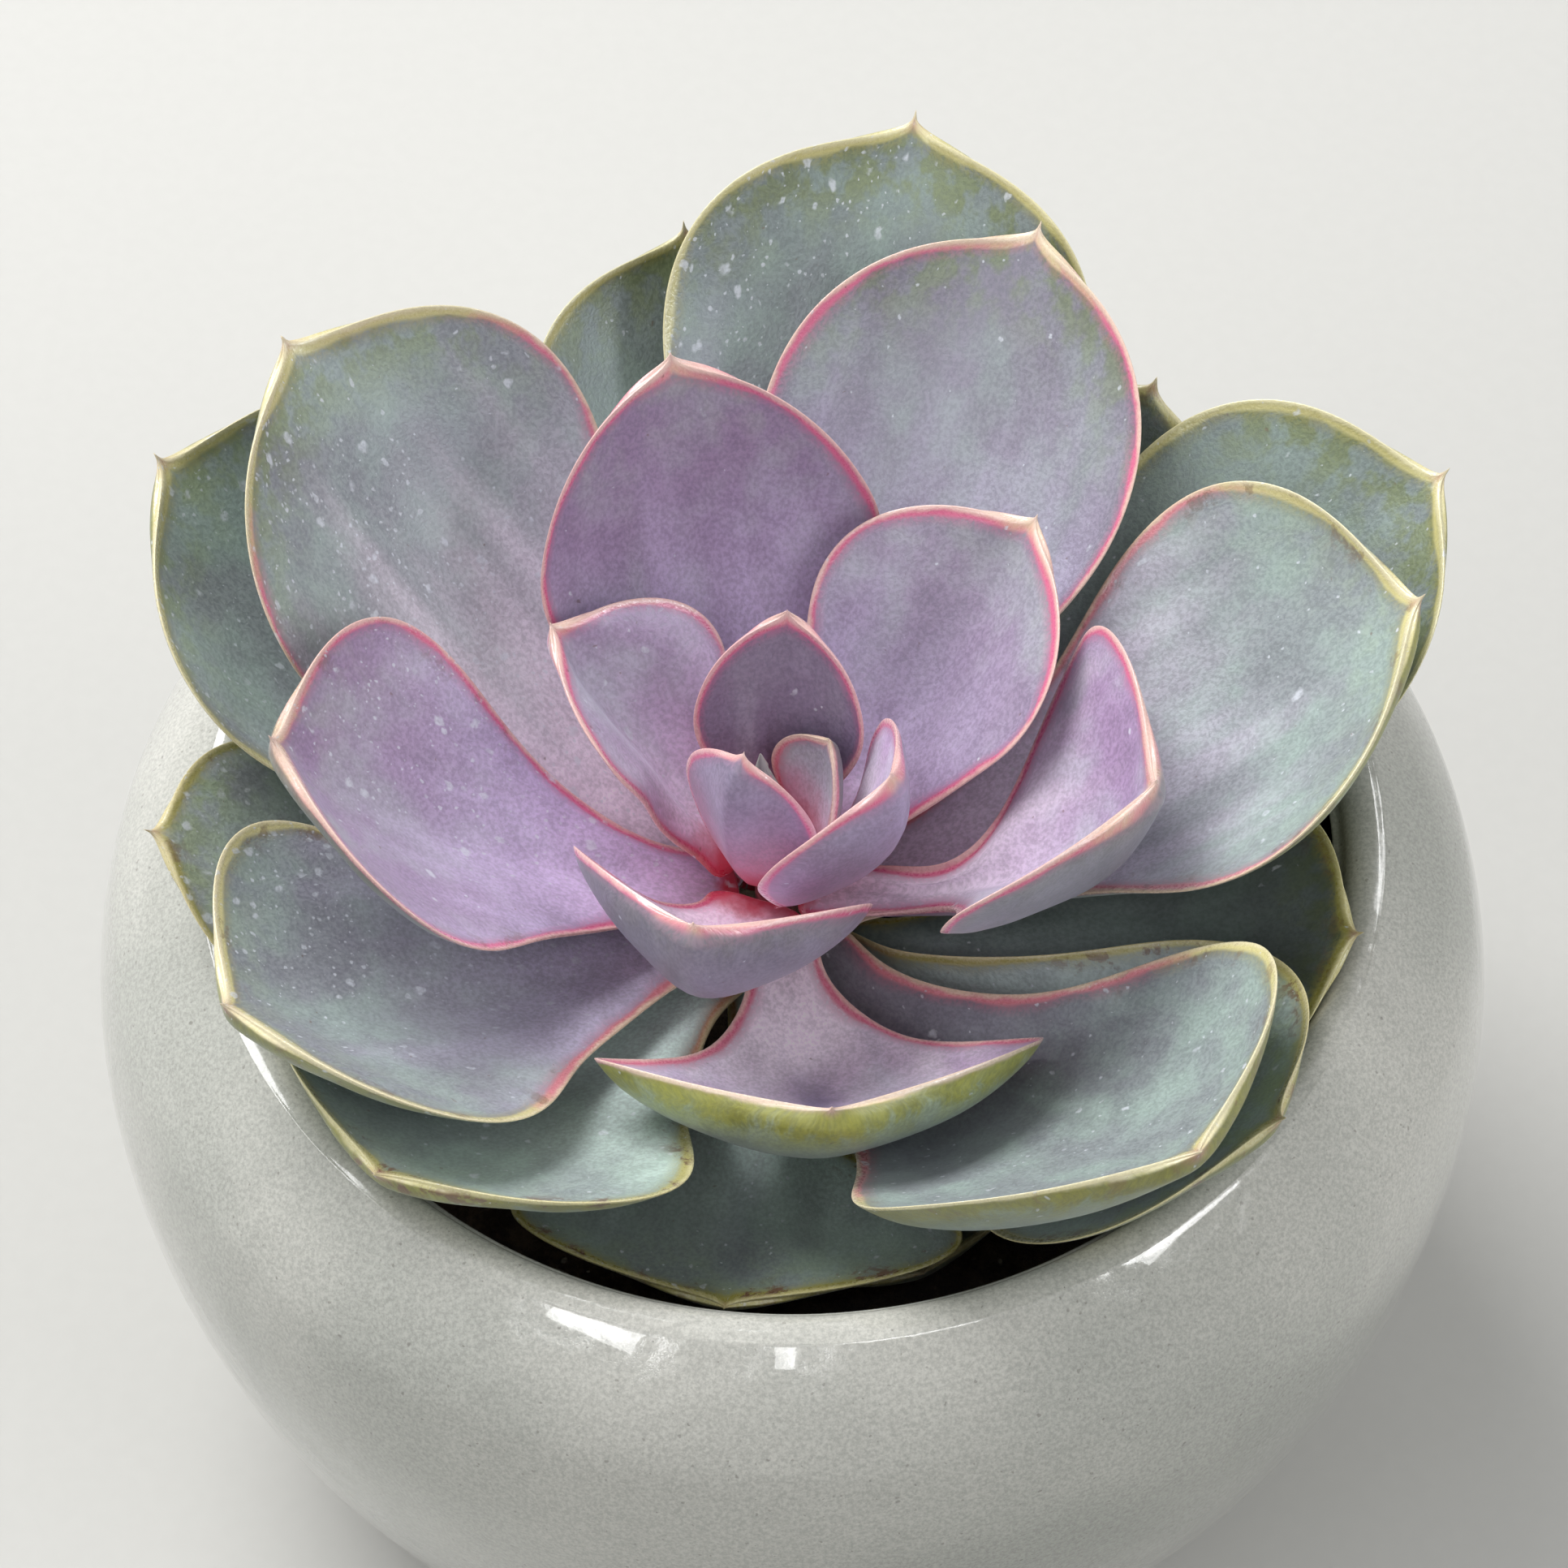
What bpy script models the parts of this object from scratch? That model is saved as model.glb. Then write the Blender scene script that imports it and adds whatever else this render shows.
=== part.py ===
"""Potted echeveria: a rosette of fleshy cupped leaves on a short stem, in potting soil, in a round glazed pot.

Metres, +Z up. The origin is the centre of the pot's flat foot.
"""

import math
from collections import namedtuple

import bmesh
import bpy
import numpy as np
from mathutils import Vector
from mathutils.bvhtree import BVHTree

MM = 0.001

# Pot, in millimetres: half an ellipse above the equator, a deeper one below it, rounded into a ring foot.
POT_RADIUS = 81.0
EQUATOR_Z = 67.0
UPPER_HALF_HEIGHT = 62.0
LOWER_HALF_HEIGHT = 95.0
OUTER_HEIGHTS = (82.0, 75.0, 67.0, 57.0, 47.0, 37.0, 28.0, 19.0)
INNER_HEIGHTS = (32.0, 43.0, 55.0, 67.0, 76.0, 84.0)
FOOT_ROUNDING_Z = 11.0
FOOT_RADIUS = 50.0
FOOT_RIM = 5.0
FOOT_RECESS = 1.5
FLOOR_ROUNDING_Z = 22.0
FLOOR_Z = 8.0
FLOOR_RADIUS = 40.0
WALL = 6.0
CURVE_STEPS = 4
LIP_RADIUS = 65.5
LIP_ROLL = 3.5
LIP_TOP_Z = 95.5
LIP_ANGLES = (200, 180, 150, 120, 90, 70, 55)
SHOULDER_CORNER = (76.5, 88.6)
POT_SIDES = 48

# Soil and stem, in millimetres.
SOIL_Z = 60.0
SOIL_MOUND = ((0.35, 1.6), (0.65, 0.6), (0.9, 0.0))
SOIL_TOP_Z = 62.0
SOIL_EDGE_DROP = 1.0
SOIL_GAP = 0.5
SOIL_SIDE_GAP = 0.9
SOIL_SIDES = 32
STEM_TOP_Z = 88.0
STEM_TOP_RADIUS = 1.8
STEM_FOOT_Z = 48.0
STEM_FOOT_RADIUS = 6.0
STEM_SIDES = 16

# Bud in the heart, in millimetres.
BUD_RADIUS = 3.0
BUD_TAPER = 1.2
BUD_BASE_Z = 90.0
BUD_TIP_Z = 107.0
BUD_LEAN = (-1.0, 1.0)
BUD_SIDES = 12
BUD_RINGS = 8

# Rosette: its axis stands on this point, and a leaf starts further out and lower the older it is.
HEART = (-2.5, 0.0)
FIRST_ROOT_RADIUS = 3.0
ROOT_RADIUS_STEP = 0.17
FIRST_ROOT_Z = 89.0
ROOT_Z_STEP = 0.65

# A leaf: azimuth of its midrib, the tip's distance from the rosette's axis, the tip's height, how far the
# midrib sags below its chord as a share of it, greatest width, how steeply the sides curl up, how far the leaf
# is rolled about its midrib, and how young its outline is. Degrees, millimetres and shares.
Leaf = namedtuple("Leaf", "azimuth reach height bow width cup roll youth")
# From the heart outwards.
LEAVES = (
    Leaf(30, 7.6, 105.5, 0.05, 14, 45, 0, 1.0),
    Leaf(236, 5, 114, 0.08, 19, 35, 0, 1.0),
    Leaf(82, 14, 116, 0.06, 22, 50, 0, 1.0),
    Leaf(328, 15.5, 116, 0.10, 30, 58, 0, 1.0),
    Leaf(146, 29.5, 110, 0.08, 34, 68, 12, 0.6),
    Leaf(43, 41, 115, 0.08, 39, 52, 0, 0.6),
    Leaf(251, 25, 110, 0.19, 43, 62, 5, 0.4),
    Leaf(106, 40, 131, 0.07, 37, 42, 0, 0.6),
    Leaf(345, 43, 119, 0.16, 48, 56, -8, -0.8),
    Leaf(188, 54, 122, 0.12, 47, 42, 0, 0.1),
    Leaf(64, 71, 124, 0.07, 50, 38, 0, 0.5),
    Leaf(279, 43, 103, 0.24, 52, 37, -5, -0.2),
    Leaf(143, 68, 131, 0.08, 52, 38, 0, 0.1),
    Leaf(8, 72, 124, 0.10, 55, 42, 0, 0.0),
    Leaf(212, 68, 113.5, 0.11, 51, 36, 2, 0.0),
    Leaf(78, 81.5, 125.5, 0.07, 53, 35, 0, 0.0),
    Leaf(308, 72, 118, 0.12, 55, 42, 0, -0.2),
    Leaf(155, 76, 121, 0.10, 54, 42, 0, 0.0),
    Leaf(23, 83, 118, 0.08, 52, 38, 0, 0.0),
    Leaf(319.5, 71.5, 107.5, 0.02, 40, 12, 0, 0.0),
    Leaf(231, 66, 104, 0.05, 50, 30, 6, -0.2),
    Leaf(187, 69, 106, 0.0, 31, 20, -4, 0.0),
    Leaf(345, 67.5, 99, 0.0, 37, 18, 6, 0.0),
    Leaf(98, 74.5, 113, 0.03, 44, 35, 0, 0.0),
    Leaf(50, 70, 108.5, 0.02, 37, 30, 0, 0.0),
    Leaf(265, 56, 83, 0.10, 49, 12, 0, -0.5),
    Leaf(290, 50, 75, 0.06, 42, 15, 0, 0.0),
)

# Half width of a leaf along its length, as a share of half its greatest width: a grown leaf is spoon shaped,
# a young one egg shaped.
STATIONS = (0.0, 0.08, 0.18, 0.30, 0.43, 0.56, 0.69, 0.80, 0.885, 0.94, 0.972, 1.0)
GROWN = (0.18, 0.20, 0.26, 0.41, 0.62, 0.88, 1.00, 0.95, 0.75, 0.43, 0.08, 0.0)
YOUNG = (0.32, 0.38, 0.52, 0.72, 0.93, 1.00, 0.93, 0.76, 0.52, 0.27, 0.06, 0.0)
NECK = 0.16
NECK_END = 0.5
# Across a leaf: places on the inner face from margin to margin, then back over the outer face.
INNER = (1.0, 0.93, 0.75, 0.42, 0.0, -0.42, -0.75, -0.93, -1.0)
OUTER = (-0.80, -0.45, 0.0, 0.45, 0.80)
# Thickness: along the length as a share of the thickness in the middle, and its fall towards the margins.
PLUMP = (0.40, 0.55, 0.75, 0.92, 1.00, 0.98, 0.88, 0.72, 0.52, 0.36, 0.26, 0.0)
THICKNESS = 1.2
THICKNESS_PER_WIDTH = 0.08
MARGIN_FALL = 2.2
MARGIN_ROUND = 0.8
INNER_SHARE = 0.3
# The cup deepens from the root up to its full curl and flattens again towards the tip.
FIRST_CUP = 0.05
FULL_CUP_AT = 0.45
CUP_EASE = 0.7
FLATTENS_FROM = 0.7
FLAT_END = 0.7
FULL_ROLL_AT = 0.4
MIDRIB_SAMPLES = 201
# A leaf is pressed outwards where it would meet a younger one, in millimetres.
LEAF_GAP = 0.7
LONGEST_PRESS = 14.0
PRESS_SAMPLES = 4
PRESS_SOFTENING = 6

# Base colours.
GLAZE = (0.46, 0.45, 0.42)
EARTH = (0.035, 0.022, 0.015)
BARK = (0.16, 0.13, 0.09)
BUD_SKIN = (0.38, 0.36, 0.36)
YOUNG_SKIN = (0.40, 0.30, 0.38)
GROWN_SKIN = (0.24, 0.29, 0.26)


def clear_scene():
    """Removes everything the startup scene holds."""
    for obj in list(bpy.data.objects):
        bpy.data.objects.remove(obj, do_unlink=True)


def object_collection():
    """The collection that holds the parts."""
    made = bpy.data.collections.new("potted_echeveria")
    bpy.context.scene.collection.children.link(made)
    return made


def paint(name, colour, roughness):
    """A plain material of one colour."""
    made = bpy.data.materials.new(name)
    made.use_nodes = True
    shader = made.node_tree.nodes["Principled BSDF"]
    shader.inputs["Base Color"].default_value = (*colour, 1.0)
    shader.inputs["Roughness"].default_value = roughness
    return made


def add_object(collection, name, bm, material):
    """Makes the object of a mesh, smooth shaded."""
    for face in bm.faces:
        face.smooth = True
    mesh = bpy.data.meshes.new(name)
    bm.to_mesh(mesh)
    bm.free()
    mesh.materials.append(material)
    made = bpy.data.objects.new(name, mesh)
    collection.objects.link(made)
    return made


def turned(collection, name, profile, sides, material):
    """A turned body. The profile, in millimetres, starts and ends on the axis and runs down its outer side."""
    bm = bmesh.new()
    corners = [bm.verts.new((radius * MM, 0.0, height * MM)) for radius, height in profile]
    for first, second in zip(corners, corners[1:]):
        bm.edges.new((first, second))
    made = add_object(collection, name, bm, material)
    screw = made.modifiers.new("turn", "SCREW")
    screw.steps = sides
    screw.render_steps = sides
    screw.use_merge_vertices = True
    screw.merge_threshold = 0.00001
    screw.use_smooth_shade = True
    return made


def outer_radius(height):
    """Radius of the pot's outer wall at a height."""
    half_height = UPPER_HALF_HEIGHT if height > EQUATOR_Z else LOWER_HALF_HEIGHT
    return POT_RADIUS * math.sqrt(1.0 - ((height - EQUATOR_Z) / half_height) ** 2)


def curved(start, corner, end):
    """Points of a quadratic curve that leaves its start, and reaches its end, in line with the corner."""
    points = []
    for step in range(CURVE_STEPS + 1):
        share = step / CURVE_STEPS
        weights = ((1.0 - share) ** 2, 2.0 * share * (1.0 - share), share**2)
        points.append(tuple(sum(w * p[i] for w, p in zip(weights, (start, corner, end))) for i in range(2)))
    return points


def rounding(top_z, thickness, flat_radius, flat_z):
    """Curve from the wall at one height, on along the wall and round into a flat at another height."""
    radius = outer_radius(top_z) - thickness
    slope = (outer_radius(top_z + 1.0) - outer_radius(top_z - 1.0)) / 2.0
    corner = (radius - slope * (top_z - flat_z), flat_z)
    return curved((radius, top_z), corner, (flat_radius, flat_z))


def inner_profile():
    """From the centre of the pot's floor up the inner wall."""
    floor = rounding(FLOOR_ROUNDING_Z, WALL, FLOOR_RADIUS, FLOOR_Z)[::-1]
    wall = [(outer_radius(height) - WALL, height) for height in INNER_HEIGHTS]
    return [(0.0, FLOOR_Z)] + floor + wall


def pot_profile():
    """From the inner floor up the inner wall, over the rolled lip, down the outer wall and under the foot."""
    lip = []
    for degrees in LIP_ANGLES:
        angle = math.radians(degrees)
        radius = LIP_RADIUS + LIP_ROLL * math.cos(angle)
        lip.append((radius, LIP_TOP_Z - LIP_ROLL + LIP_ROLL * math.sin(angle)))
    wall = [(outer_radius(height), height) for height in OUTER_HEIGHTS]
    shoulder = curved(lip[-1], SHOULDER_CORNER, wall[0])[1:-1]
    foot = rounding(FOOT_ROUNDING_Z, 0.0, FOOT_RADIUS, 0.0)
    recess_radius = FOOT_RADIUS - FOOT_RIM
    recess = [(recess_radius, 0.0), (recess_radius - FOOT_RECESS, FOOT_RECESS), (0.0, FOOT_RECESS)]
    return inner_profile() + lip + shoulder + wall + foot + recess


def pot(collection):
    """The round pot, open at the top, with a ring foot."""
    return turned(collection, "pot", pot_profile(), POT_SIDES, paint("pot_glaze", GLAZE, 0.15))


def soil(collection):
    """The potting soil, filling the pot up to a low mound with a socket for the stem."""
    socket = STEM_FOOT_RADIUS + SOIL_GAP
    rim = outer_radius(SOIL_Z) - WALL - SOIL_SIDE_GAP
    top = [(0.0, STEM_FOOT_Z - SOIL_GAP), (socket, STEM_FOOT_Z - SOIL_GAP), (socket, SOIL_TOP_Z)]
    top += [(share * rim, SOIL_Z + rise) for share, rise in SOIL_MOUND]
    top.append((rim, SOIL_Z - SOIL_EDGE_DROP))
    below = [(radius, height) for radius, height in inner_profile() if height < SOIL_Z - 2.0 * SOIL_EDGE_DROP]
    under = [(max(0.0, radius - SOIL_SIDE_GAP), height + SOIL_GAP) for radius, height in below]
    return turned(collection, "soil", top + under[::-1], SOIL_SIDES, paint("soil_earth", EARTH, 0.95))


def stem(collection):
    """The short stem under the rosette, its foot in the soil."""
    bm = bmesh.new()
    bmesh.ops.create_cone(
        bm,
        cap_ends=True,
        segments=STEM_SIDES,
        radius1=STEM_FOOT_RADIUS * MM,
        radius2=STEM_TOP_RADIUS * MM,
        depth=(STEM_TOP_Z - STEM_FOOT_Z) * MM,
    )
    middle = (STEM_TOP_Z + STEM_FOOT_Z) / 2.0
    bmesh.ops.translate(bm, verts=bm.verts[:], vec=(0.0, 0.0, middle * MM))
    for vertex in bm.verts:
        share = (vertex.co.z / MM - STEM_FOOT_Z) / (STEM_TOP_Z - STEM_FOOT_Z)
        vertex.co.x += HEART[0] * MM * share
        vertex.co.y += HEART[1] * MM * share
    return add_object(collection, "stem", bm, paint("stem_bark", BARK, 0.8))


def bud(collection):
    """The closed, pointed bud in the heart of the rosette. Returns its surface, for the leaves to keep clear."""
    bm = bmesh.new()
    bmesh.ops.create_uvsphere(bm, u_segments=BUD_SIDES, v_segments=BUD_RINGS, radius=1.0)
    for vertex in bm.verts:
        share = (vertex.co.z + 1.0) / 2.0
        radius = BUD_RADIUS * (BUD_TAPER - share)
        lean = np.array(HEART) + share * np.array(BUD_LEAN)
        height = BUD_BASE_Z + share * (BUD_TIP_Z - BUD_BASE_Z)
        place = (vertex.co.x * radius + lean[0], vertex.co.y * radius + lean[1], height)
        vertex.co = Vector(place) * MM
    surface = BVHTree.FromBMesh(bm)
    add_object(collection, "bud", bm, paint("bud_skin", BUD_SKIN, 0.6))
    return surface


def midrib(rank, leaf):
    """Share of its length, place (distance from the rosette's axis, height) and slope along the midrib."""
    root = np.array((FIRST_ROOT_RADIUS + ROOT_RADIUS_STEP * rank, FIRST_ROOT_Z - ROOT_Z_STEP * rank))
    tip = np.array((leaf.reach, leaf.height))
    chord = tip - root
    below = np.array((chord[1], -chord[0]))
    knee = (root + tip) / 2.0 + 2.0 * leaf.bow * below
    share = np.linspace(0.0, 1.0, MIDRIB_SAMPLES)[:, None]
    line = (1 - share) ** 2 * root + 2 * share * (1 - share) * knee + share**2 * tip
    slope = 2 * (1 - share) * (knee - root) + 2 * share * (tip - knee)
    along = np.concatenate(((0.0,), np.cumsum(np.linalg.norm(np.diff(line, axis=0), axis=1))))
    return along / along[-1], line, slope


def leaf_frame(rank, leaf, v):
    """Centre, sideways and inward directions of the leaf at the share v of its length, in millimetres."""
    share, line, slope = midrib(rank, leaf)
    azimuth = math.radians(leaf.azimuth)
    away = np.array((math.cos(azimuth), math.sin(azimuth), 0.0))
    across = np.array((-math.sin(azimuth), math.cos(azimuth), 0.0))
    up = np.array((0.0, 0.0, 1.0))
    distance = np.interp(v, share, line[:, 0])
    height = np.interp(v, share, line[:, 1])
    angle = math.atan2(np.interp(v, share, slope[:, 1]), np.interp(v, share, slope[:, 0]))
    inward = -math.sin(angle) * away + math.cos(angle) * up
    roll = math.radians(leaf.roll) * min(1.0, v / FULL_ROLL_AT)
    side = math.cos(roll) * across + math.sin(roll) * inward
    face = -math.sin(roll) * across + math.cos(roll) * inward
    centre = distance * away + height * up + np.array((*HEART, 0.0))
    return centre, side, face


def half_width(leaf, v):
    """Half the width of the leaf at the share v of its length, never narrower than its neck near the root."""
    grown = np.interp(v, STATIONS, GROWN)
    young = np.interp(v, STATIONS, YOUNG)
    share = grown * (1.0 - leaf.youth) + young * leaf.youth
    if v < NECK_END:
        share = max(NECK, share)
    return share * leaf.width / 2.0


def sheet(rank, leaf, v, u):
    """A point of the leaf's middle surface and the direction its inner face looks in there."""
    centre, side, face = leaf_frame(rank, leaf, v)
    width = half_width(leaf, v)
    curl = math.radians(leaf.cup) * min(1.0, max(FIRST_CUP, v / FULL_CUP_AT)) ** CUP_EASE
    if v > FLATTENS_FROM:
        curl *= FLAT_END + (1.0 - FLAT_END) * width / (leaf.width / 2.0)
    bend = width / curl
    point = centre + bend * math.sin(curl * u) * side + bend * (1.0 - math.cos(curl * u)) * face
    looks = math.cos(curl * u) * face - math.sin(curl * u) * side
    return point, looks


def plumpness(leaf, v, u):
    """Thickness of the leaf at a place on it."""
    full = THICKNESS + THICKNESS_PER_WIDTH * leaf.width
    return full * np.interp(v, STATIONS, PLUMP) * (1.0 - abs(u) ** MARGIN_FALL) ** MARGIN_ROUND


def refined(places):
    """The places with PRESS_SAMPLES steps between each two."""
    count = len(places)
    return np.interp(np.linspace(0, count - 1, PRESS_SAMPLES * (count - 1) + 1), np.arange(count), places)


def press(rank, leaf, trees):
    """How far each place is pressed outwards, so that the leaf lies against the younger ones' outer faces."""
    row_places = refined(STATIONS)
    column_places = refined(INNER)
    fine = np.zeros((len(row_places), len(column_places)))
    for i, v in enumerate(row_places):
        for j, u in enumerate(column_places):
            point, looks = sheet(rank, leaf, v, u)
            point = point + INNER_SHARE * plumpness(leaf, v, u) * looks
            start = Vector((point - LONGEST_PRESS * looks) * MM)
            for tree in trees:
                distance = tree.ray_cast(start, Vector(looks), (LONGEST_PRESS + LEAF_GAP) * MM)[3]
                if distance is not None:
                    fine[i, j] = min(fine[i, j], distance / MM - LONGEST_PRESS - LEAF_GAP)
    needed = np.zeros((len(STATIONS), len(INNER)))
    for i in range(len(STATIONS)):
        for j in range(len(INNER)):
            top = max(0, PRESS_SAMPLES * (i - 1) + 1)
            left = max(0, PRESS_SAMPLES * (j - 1) + 1)
            needed[i, j] = fine[top : PRESS_SAMPLES * (i + 1), left : PRESS_SAMPLES * (j + 1)].min()
    pressed = needed.copy()
    for _ in range(PRESS_SOFTENING):
        padded = np.pad(pressed, 1, mode="edge")
        mean = (padded[:-2, 1:-1] + padded[2:, 1:-1] + padded[1:-1, :-2] + padded[1:-1, 2:]) / 4.0
        pressed = np.minimum(needed, mean)
    return pressed


def leaf_rings(rank, leaf, trees):
    """The leaf's cross sections from root to tip, each a closed ring of points in millimetres."""
    pressed = press(rank, leaf, trees)
    order = np.argsort(INNER)
    rings = []
    for i, v in enumerate(STATIONS):
        ring = []
        for place, u in enumerate(INNER + OUTER):
            point, looks = sheet(rank, leaf, v, u)
            share = INNER_SHARE if place < len(INNER) else INNER_SHARE - 1.0
            shift = np.interp(u, np.array(INNER)[order], pressed[i][order])
            ring.append(point + (share * plumpness(leaf, v, u) + shift) * looks)
        rings.append(ring)
    return rings


def leaf_mesh(rings):
    """Lofts the rings into one closed body, flat at the root and drawn to a point at the tip."""
    bm = bmesh.new()
    loops = [[bm.verts.new(Vector(point * MM)) for point in ring] for ring in rings[:-1]]
    tip = bm.verts.new(Vector(rings[-1][0] * MM))
    count = len(loops[0])
    for near, far in zip(loops, loops[1:]):
        for k in range(count):
            bm.faces.new((near[k], near[(k + 1) % count], far[(k + 1) % count], far[k]))
    for k in range(count):
        bm.faces.new((loops[-1][k], loops[-1][(k + 1) % count], tip))
    bm.faces.new(loops[0])
    bmesh.ops.recalc_face_normals(bm, faces=bm.faces[:])
    return bm


def leaf_colour(rank):
    """Mauve in the heart, grey green further out."""
    age = (rank - 1) / (len(LEAVES) - 1)
    return tuple(young * (1.0 - age) + grown * age for young, grown in zip(YOUNG_SKIN, GROWN_SKIN))


def leaves(collection, heart):
    """All leaves, from the heart outwards, each clear of the bud and of the younger ones."""
    trees = [heart]
    for rank, leaf in enumerate(LEAVES, start=1):
        bm = leaf_mesh(leaf_rings(rank, leaf, trees))
        trees.append(BVHTree.FromBMesh(bm))
        name = f"leaf_{rank:02d}"
        add_object(collection, name, bm, paint(name + "_skin", leaf_colour(rank), 0.55))


def main():
    clear_scene()
    collection = object_collection()
    pot(collection)
    soil(collection)
    stem(collection)
    leaves(collection, bud(collection))


main()
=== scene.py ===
"""Looks of a potted echeveria: powdery leaves with raised margins, a bud, a stem, soil, a glazed pot and a studio.

Run as a script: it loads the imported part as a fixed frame, in metres with +Z up, and dresses it.
"""

import math
import random
from collections import namedtuple

import bmesh
import bpy
import numpy as np
from mathutils import Euler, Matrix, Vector, noise
from mathutils.bvhtree import BVHTree
from mathutils.kdtree import KDTree


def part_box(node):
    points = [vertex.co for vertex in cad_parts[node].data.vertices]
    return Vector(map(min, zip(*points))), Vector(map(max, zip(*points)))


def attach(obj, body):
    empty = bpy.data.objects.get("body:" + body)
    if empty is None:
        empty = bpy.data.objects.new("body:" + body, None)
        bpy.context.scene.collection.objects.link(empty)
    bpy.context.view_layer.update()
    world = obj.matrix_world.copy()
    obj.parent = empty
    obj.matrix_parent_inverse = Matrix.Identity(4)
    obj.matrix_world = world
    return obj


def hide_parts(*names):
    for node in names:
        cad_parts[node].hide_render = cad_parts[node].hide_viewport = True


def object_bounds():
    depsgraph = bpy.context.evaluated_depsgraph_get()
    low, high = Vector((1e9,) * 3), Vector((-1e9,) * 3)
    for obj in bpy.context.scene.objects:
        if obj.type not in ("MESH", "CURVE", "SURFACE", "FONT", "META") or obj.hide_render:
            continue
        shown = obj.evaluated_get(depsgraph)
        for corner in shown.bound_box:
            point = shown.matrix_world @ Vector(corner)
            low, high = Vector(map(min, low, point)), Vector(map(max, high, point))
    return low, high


bl_info = {
    "name": "Potted Echeveria",
    "version": (1, 0, 0),
    "blender": (4, 5, 0),
    "location": "3D View > Sidebar > Echeveria",
    "description": "Dresses a potted echeveria: leaves, bud, stem, soil, glazed pot and a plain studio",
    "category": "Object",
}

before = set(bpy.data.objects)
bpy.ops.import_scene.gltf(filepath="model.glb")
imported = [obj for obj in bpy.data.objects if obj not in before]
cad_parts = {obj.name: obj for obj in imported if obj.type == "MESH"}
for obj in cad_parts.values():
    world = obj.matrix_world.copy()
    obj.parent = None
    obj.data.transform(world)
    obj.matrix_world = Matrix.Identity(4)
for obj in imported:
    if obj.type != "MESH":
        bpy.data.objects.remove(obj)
CAD_BOX = [list(corner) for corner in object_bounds()]
MM = 0.001

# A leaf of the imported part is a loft: rings of this many points, closed by a point at the tip. A ring runs over the
# inner face from the margin at 0, by the midrib, to the other margin, and back over the outer face, by its keel.
RING = 14
MIDRIB = 4
FAR_MARGIN = 8
KEEL = 11

# Points this near to each other are joined, and a point this near to an axis or a plane lies on it.
TOUCH = 0.01 * MM

# The studio's lamps, in metres: where the key and the two fills stand, with each fill's share of the fill power.
LAMP_AIM = Vector((0.0, 0.0, 0.08))
KEY_PLACE, KEY_WIDTH = (-0.55, 0.65, 1.05), 0.8
FILLS = {"fill_left": ((-0.9, -0.35, 0.55), 1.15), "fill_right": ((0.9, -0.35, 0.55), 1.35)}
FILL_WIDTH = 0.9

# The small lamps that glint in the glaze: place across and back, width and depth.
SPARKLES = (
    (-0.60, -0.95, 0.30, 0.18), (-0.36, -0.30, 0.20, 0.04), (-0.02, -1.00, 0.06, 0.26), (0.22, -0.50, 0.28, 0.07),
    (1.15, -0.50, 0.44, 0.26), (0.90, -0.22, 0.20, 0.06), (0.60, 0.75, 0.30, 0.06),
)
SPARKLE_HEIGHT = 1.15

# The even light of the sky is faintly blue. The floor reaches this many metres each way, and fades to the backdrop
# between these distances in millimetres.
SKY_COLOUR = (0.96, 0.98, 1.0)
FLOOR_REACH = 4.0
FLOOR_FADE = (550.0, 1300.0)

# The camera aims at the middle of the pot where it is widest, and its lens is shifted to frame the rosette.
CAMERA_AIM = Vector((0.0, 0.0, 67.0 * MM))
SENSOR_WIDTH = 36.0
FOCAL_LENGTH = 107.05
LENS_SHIFT = (-0.005176, 0.110766)

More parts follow.
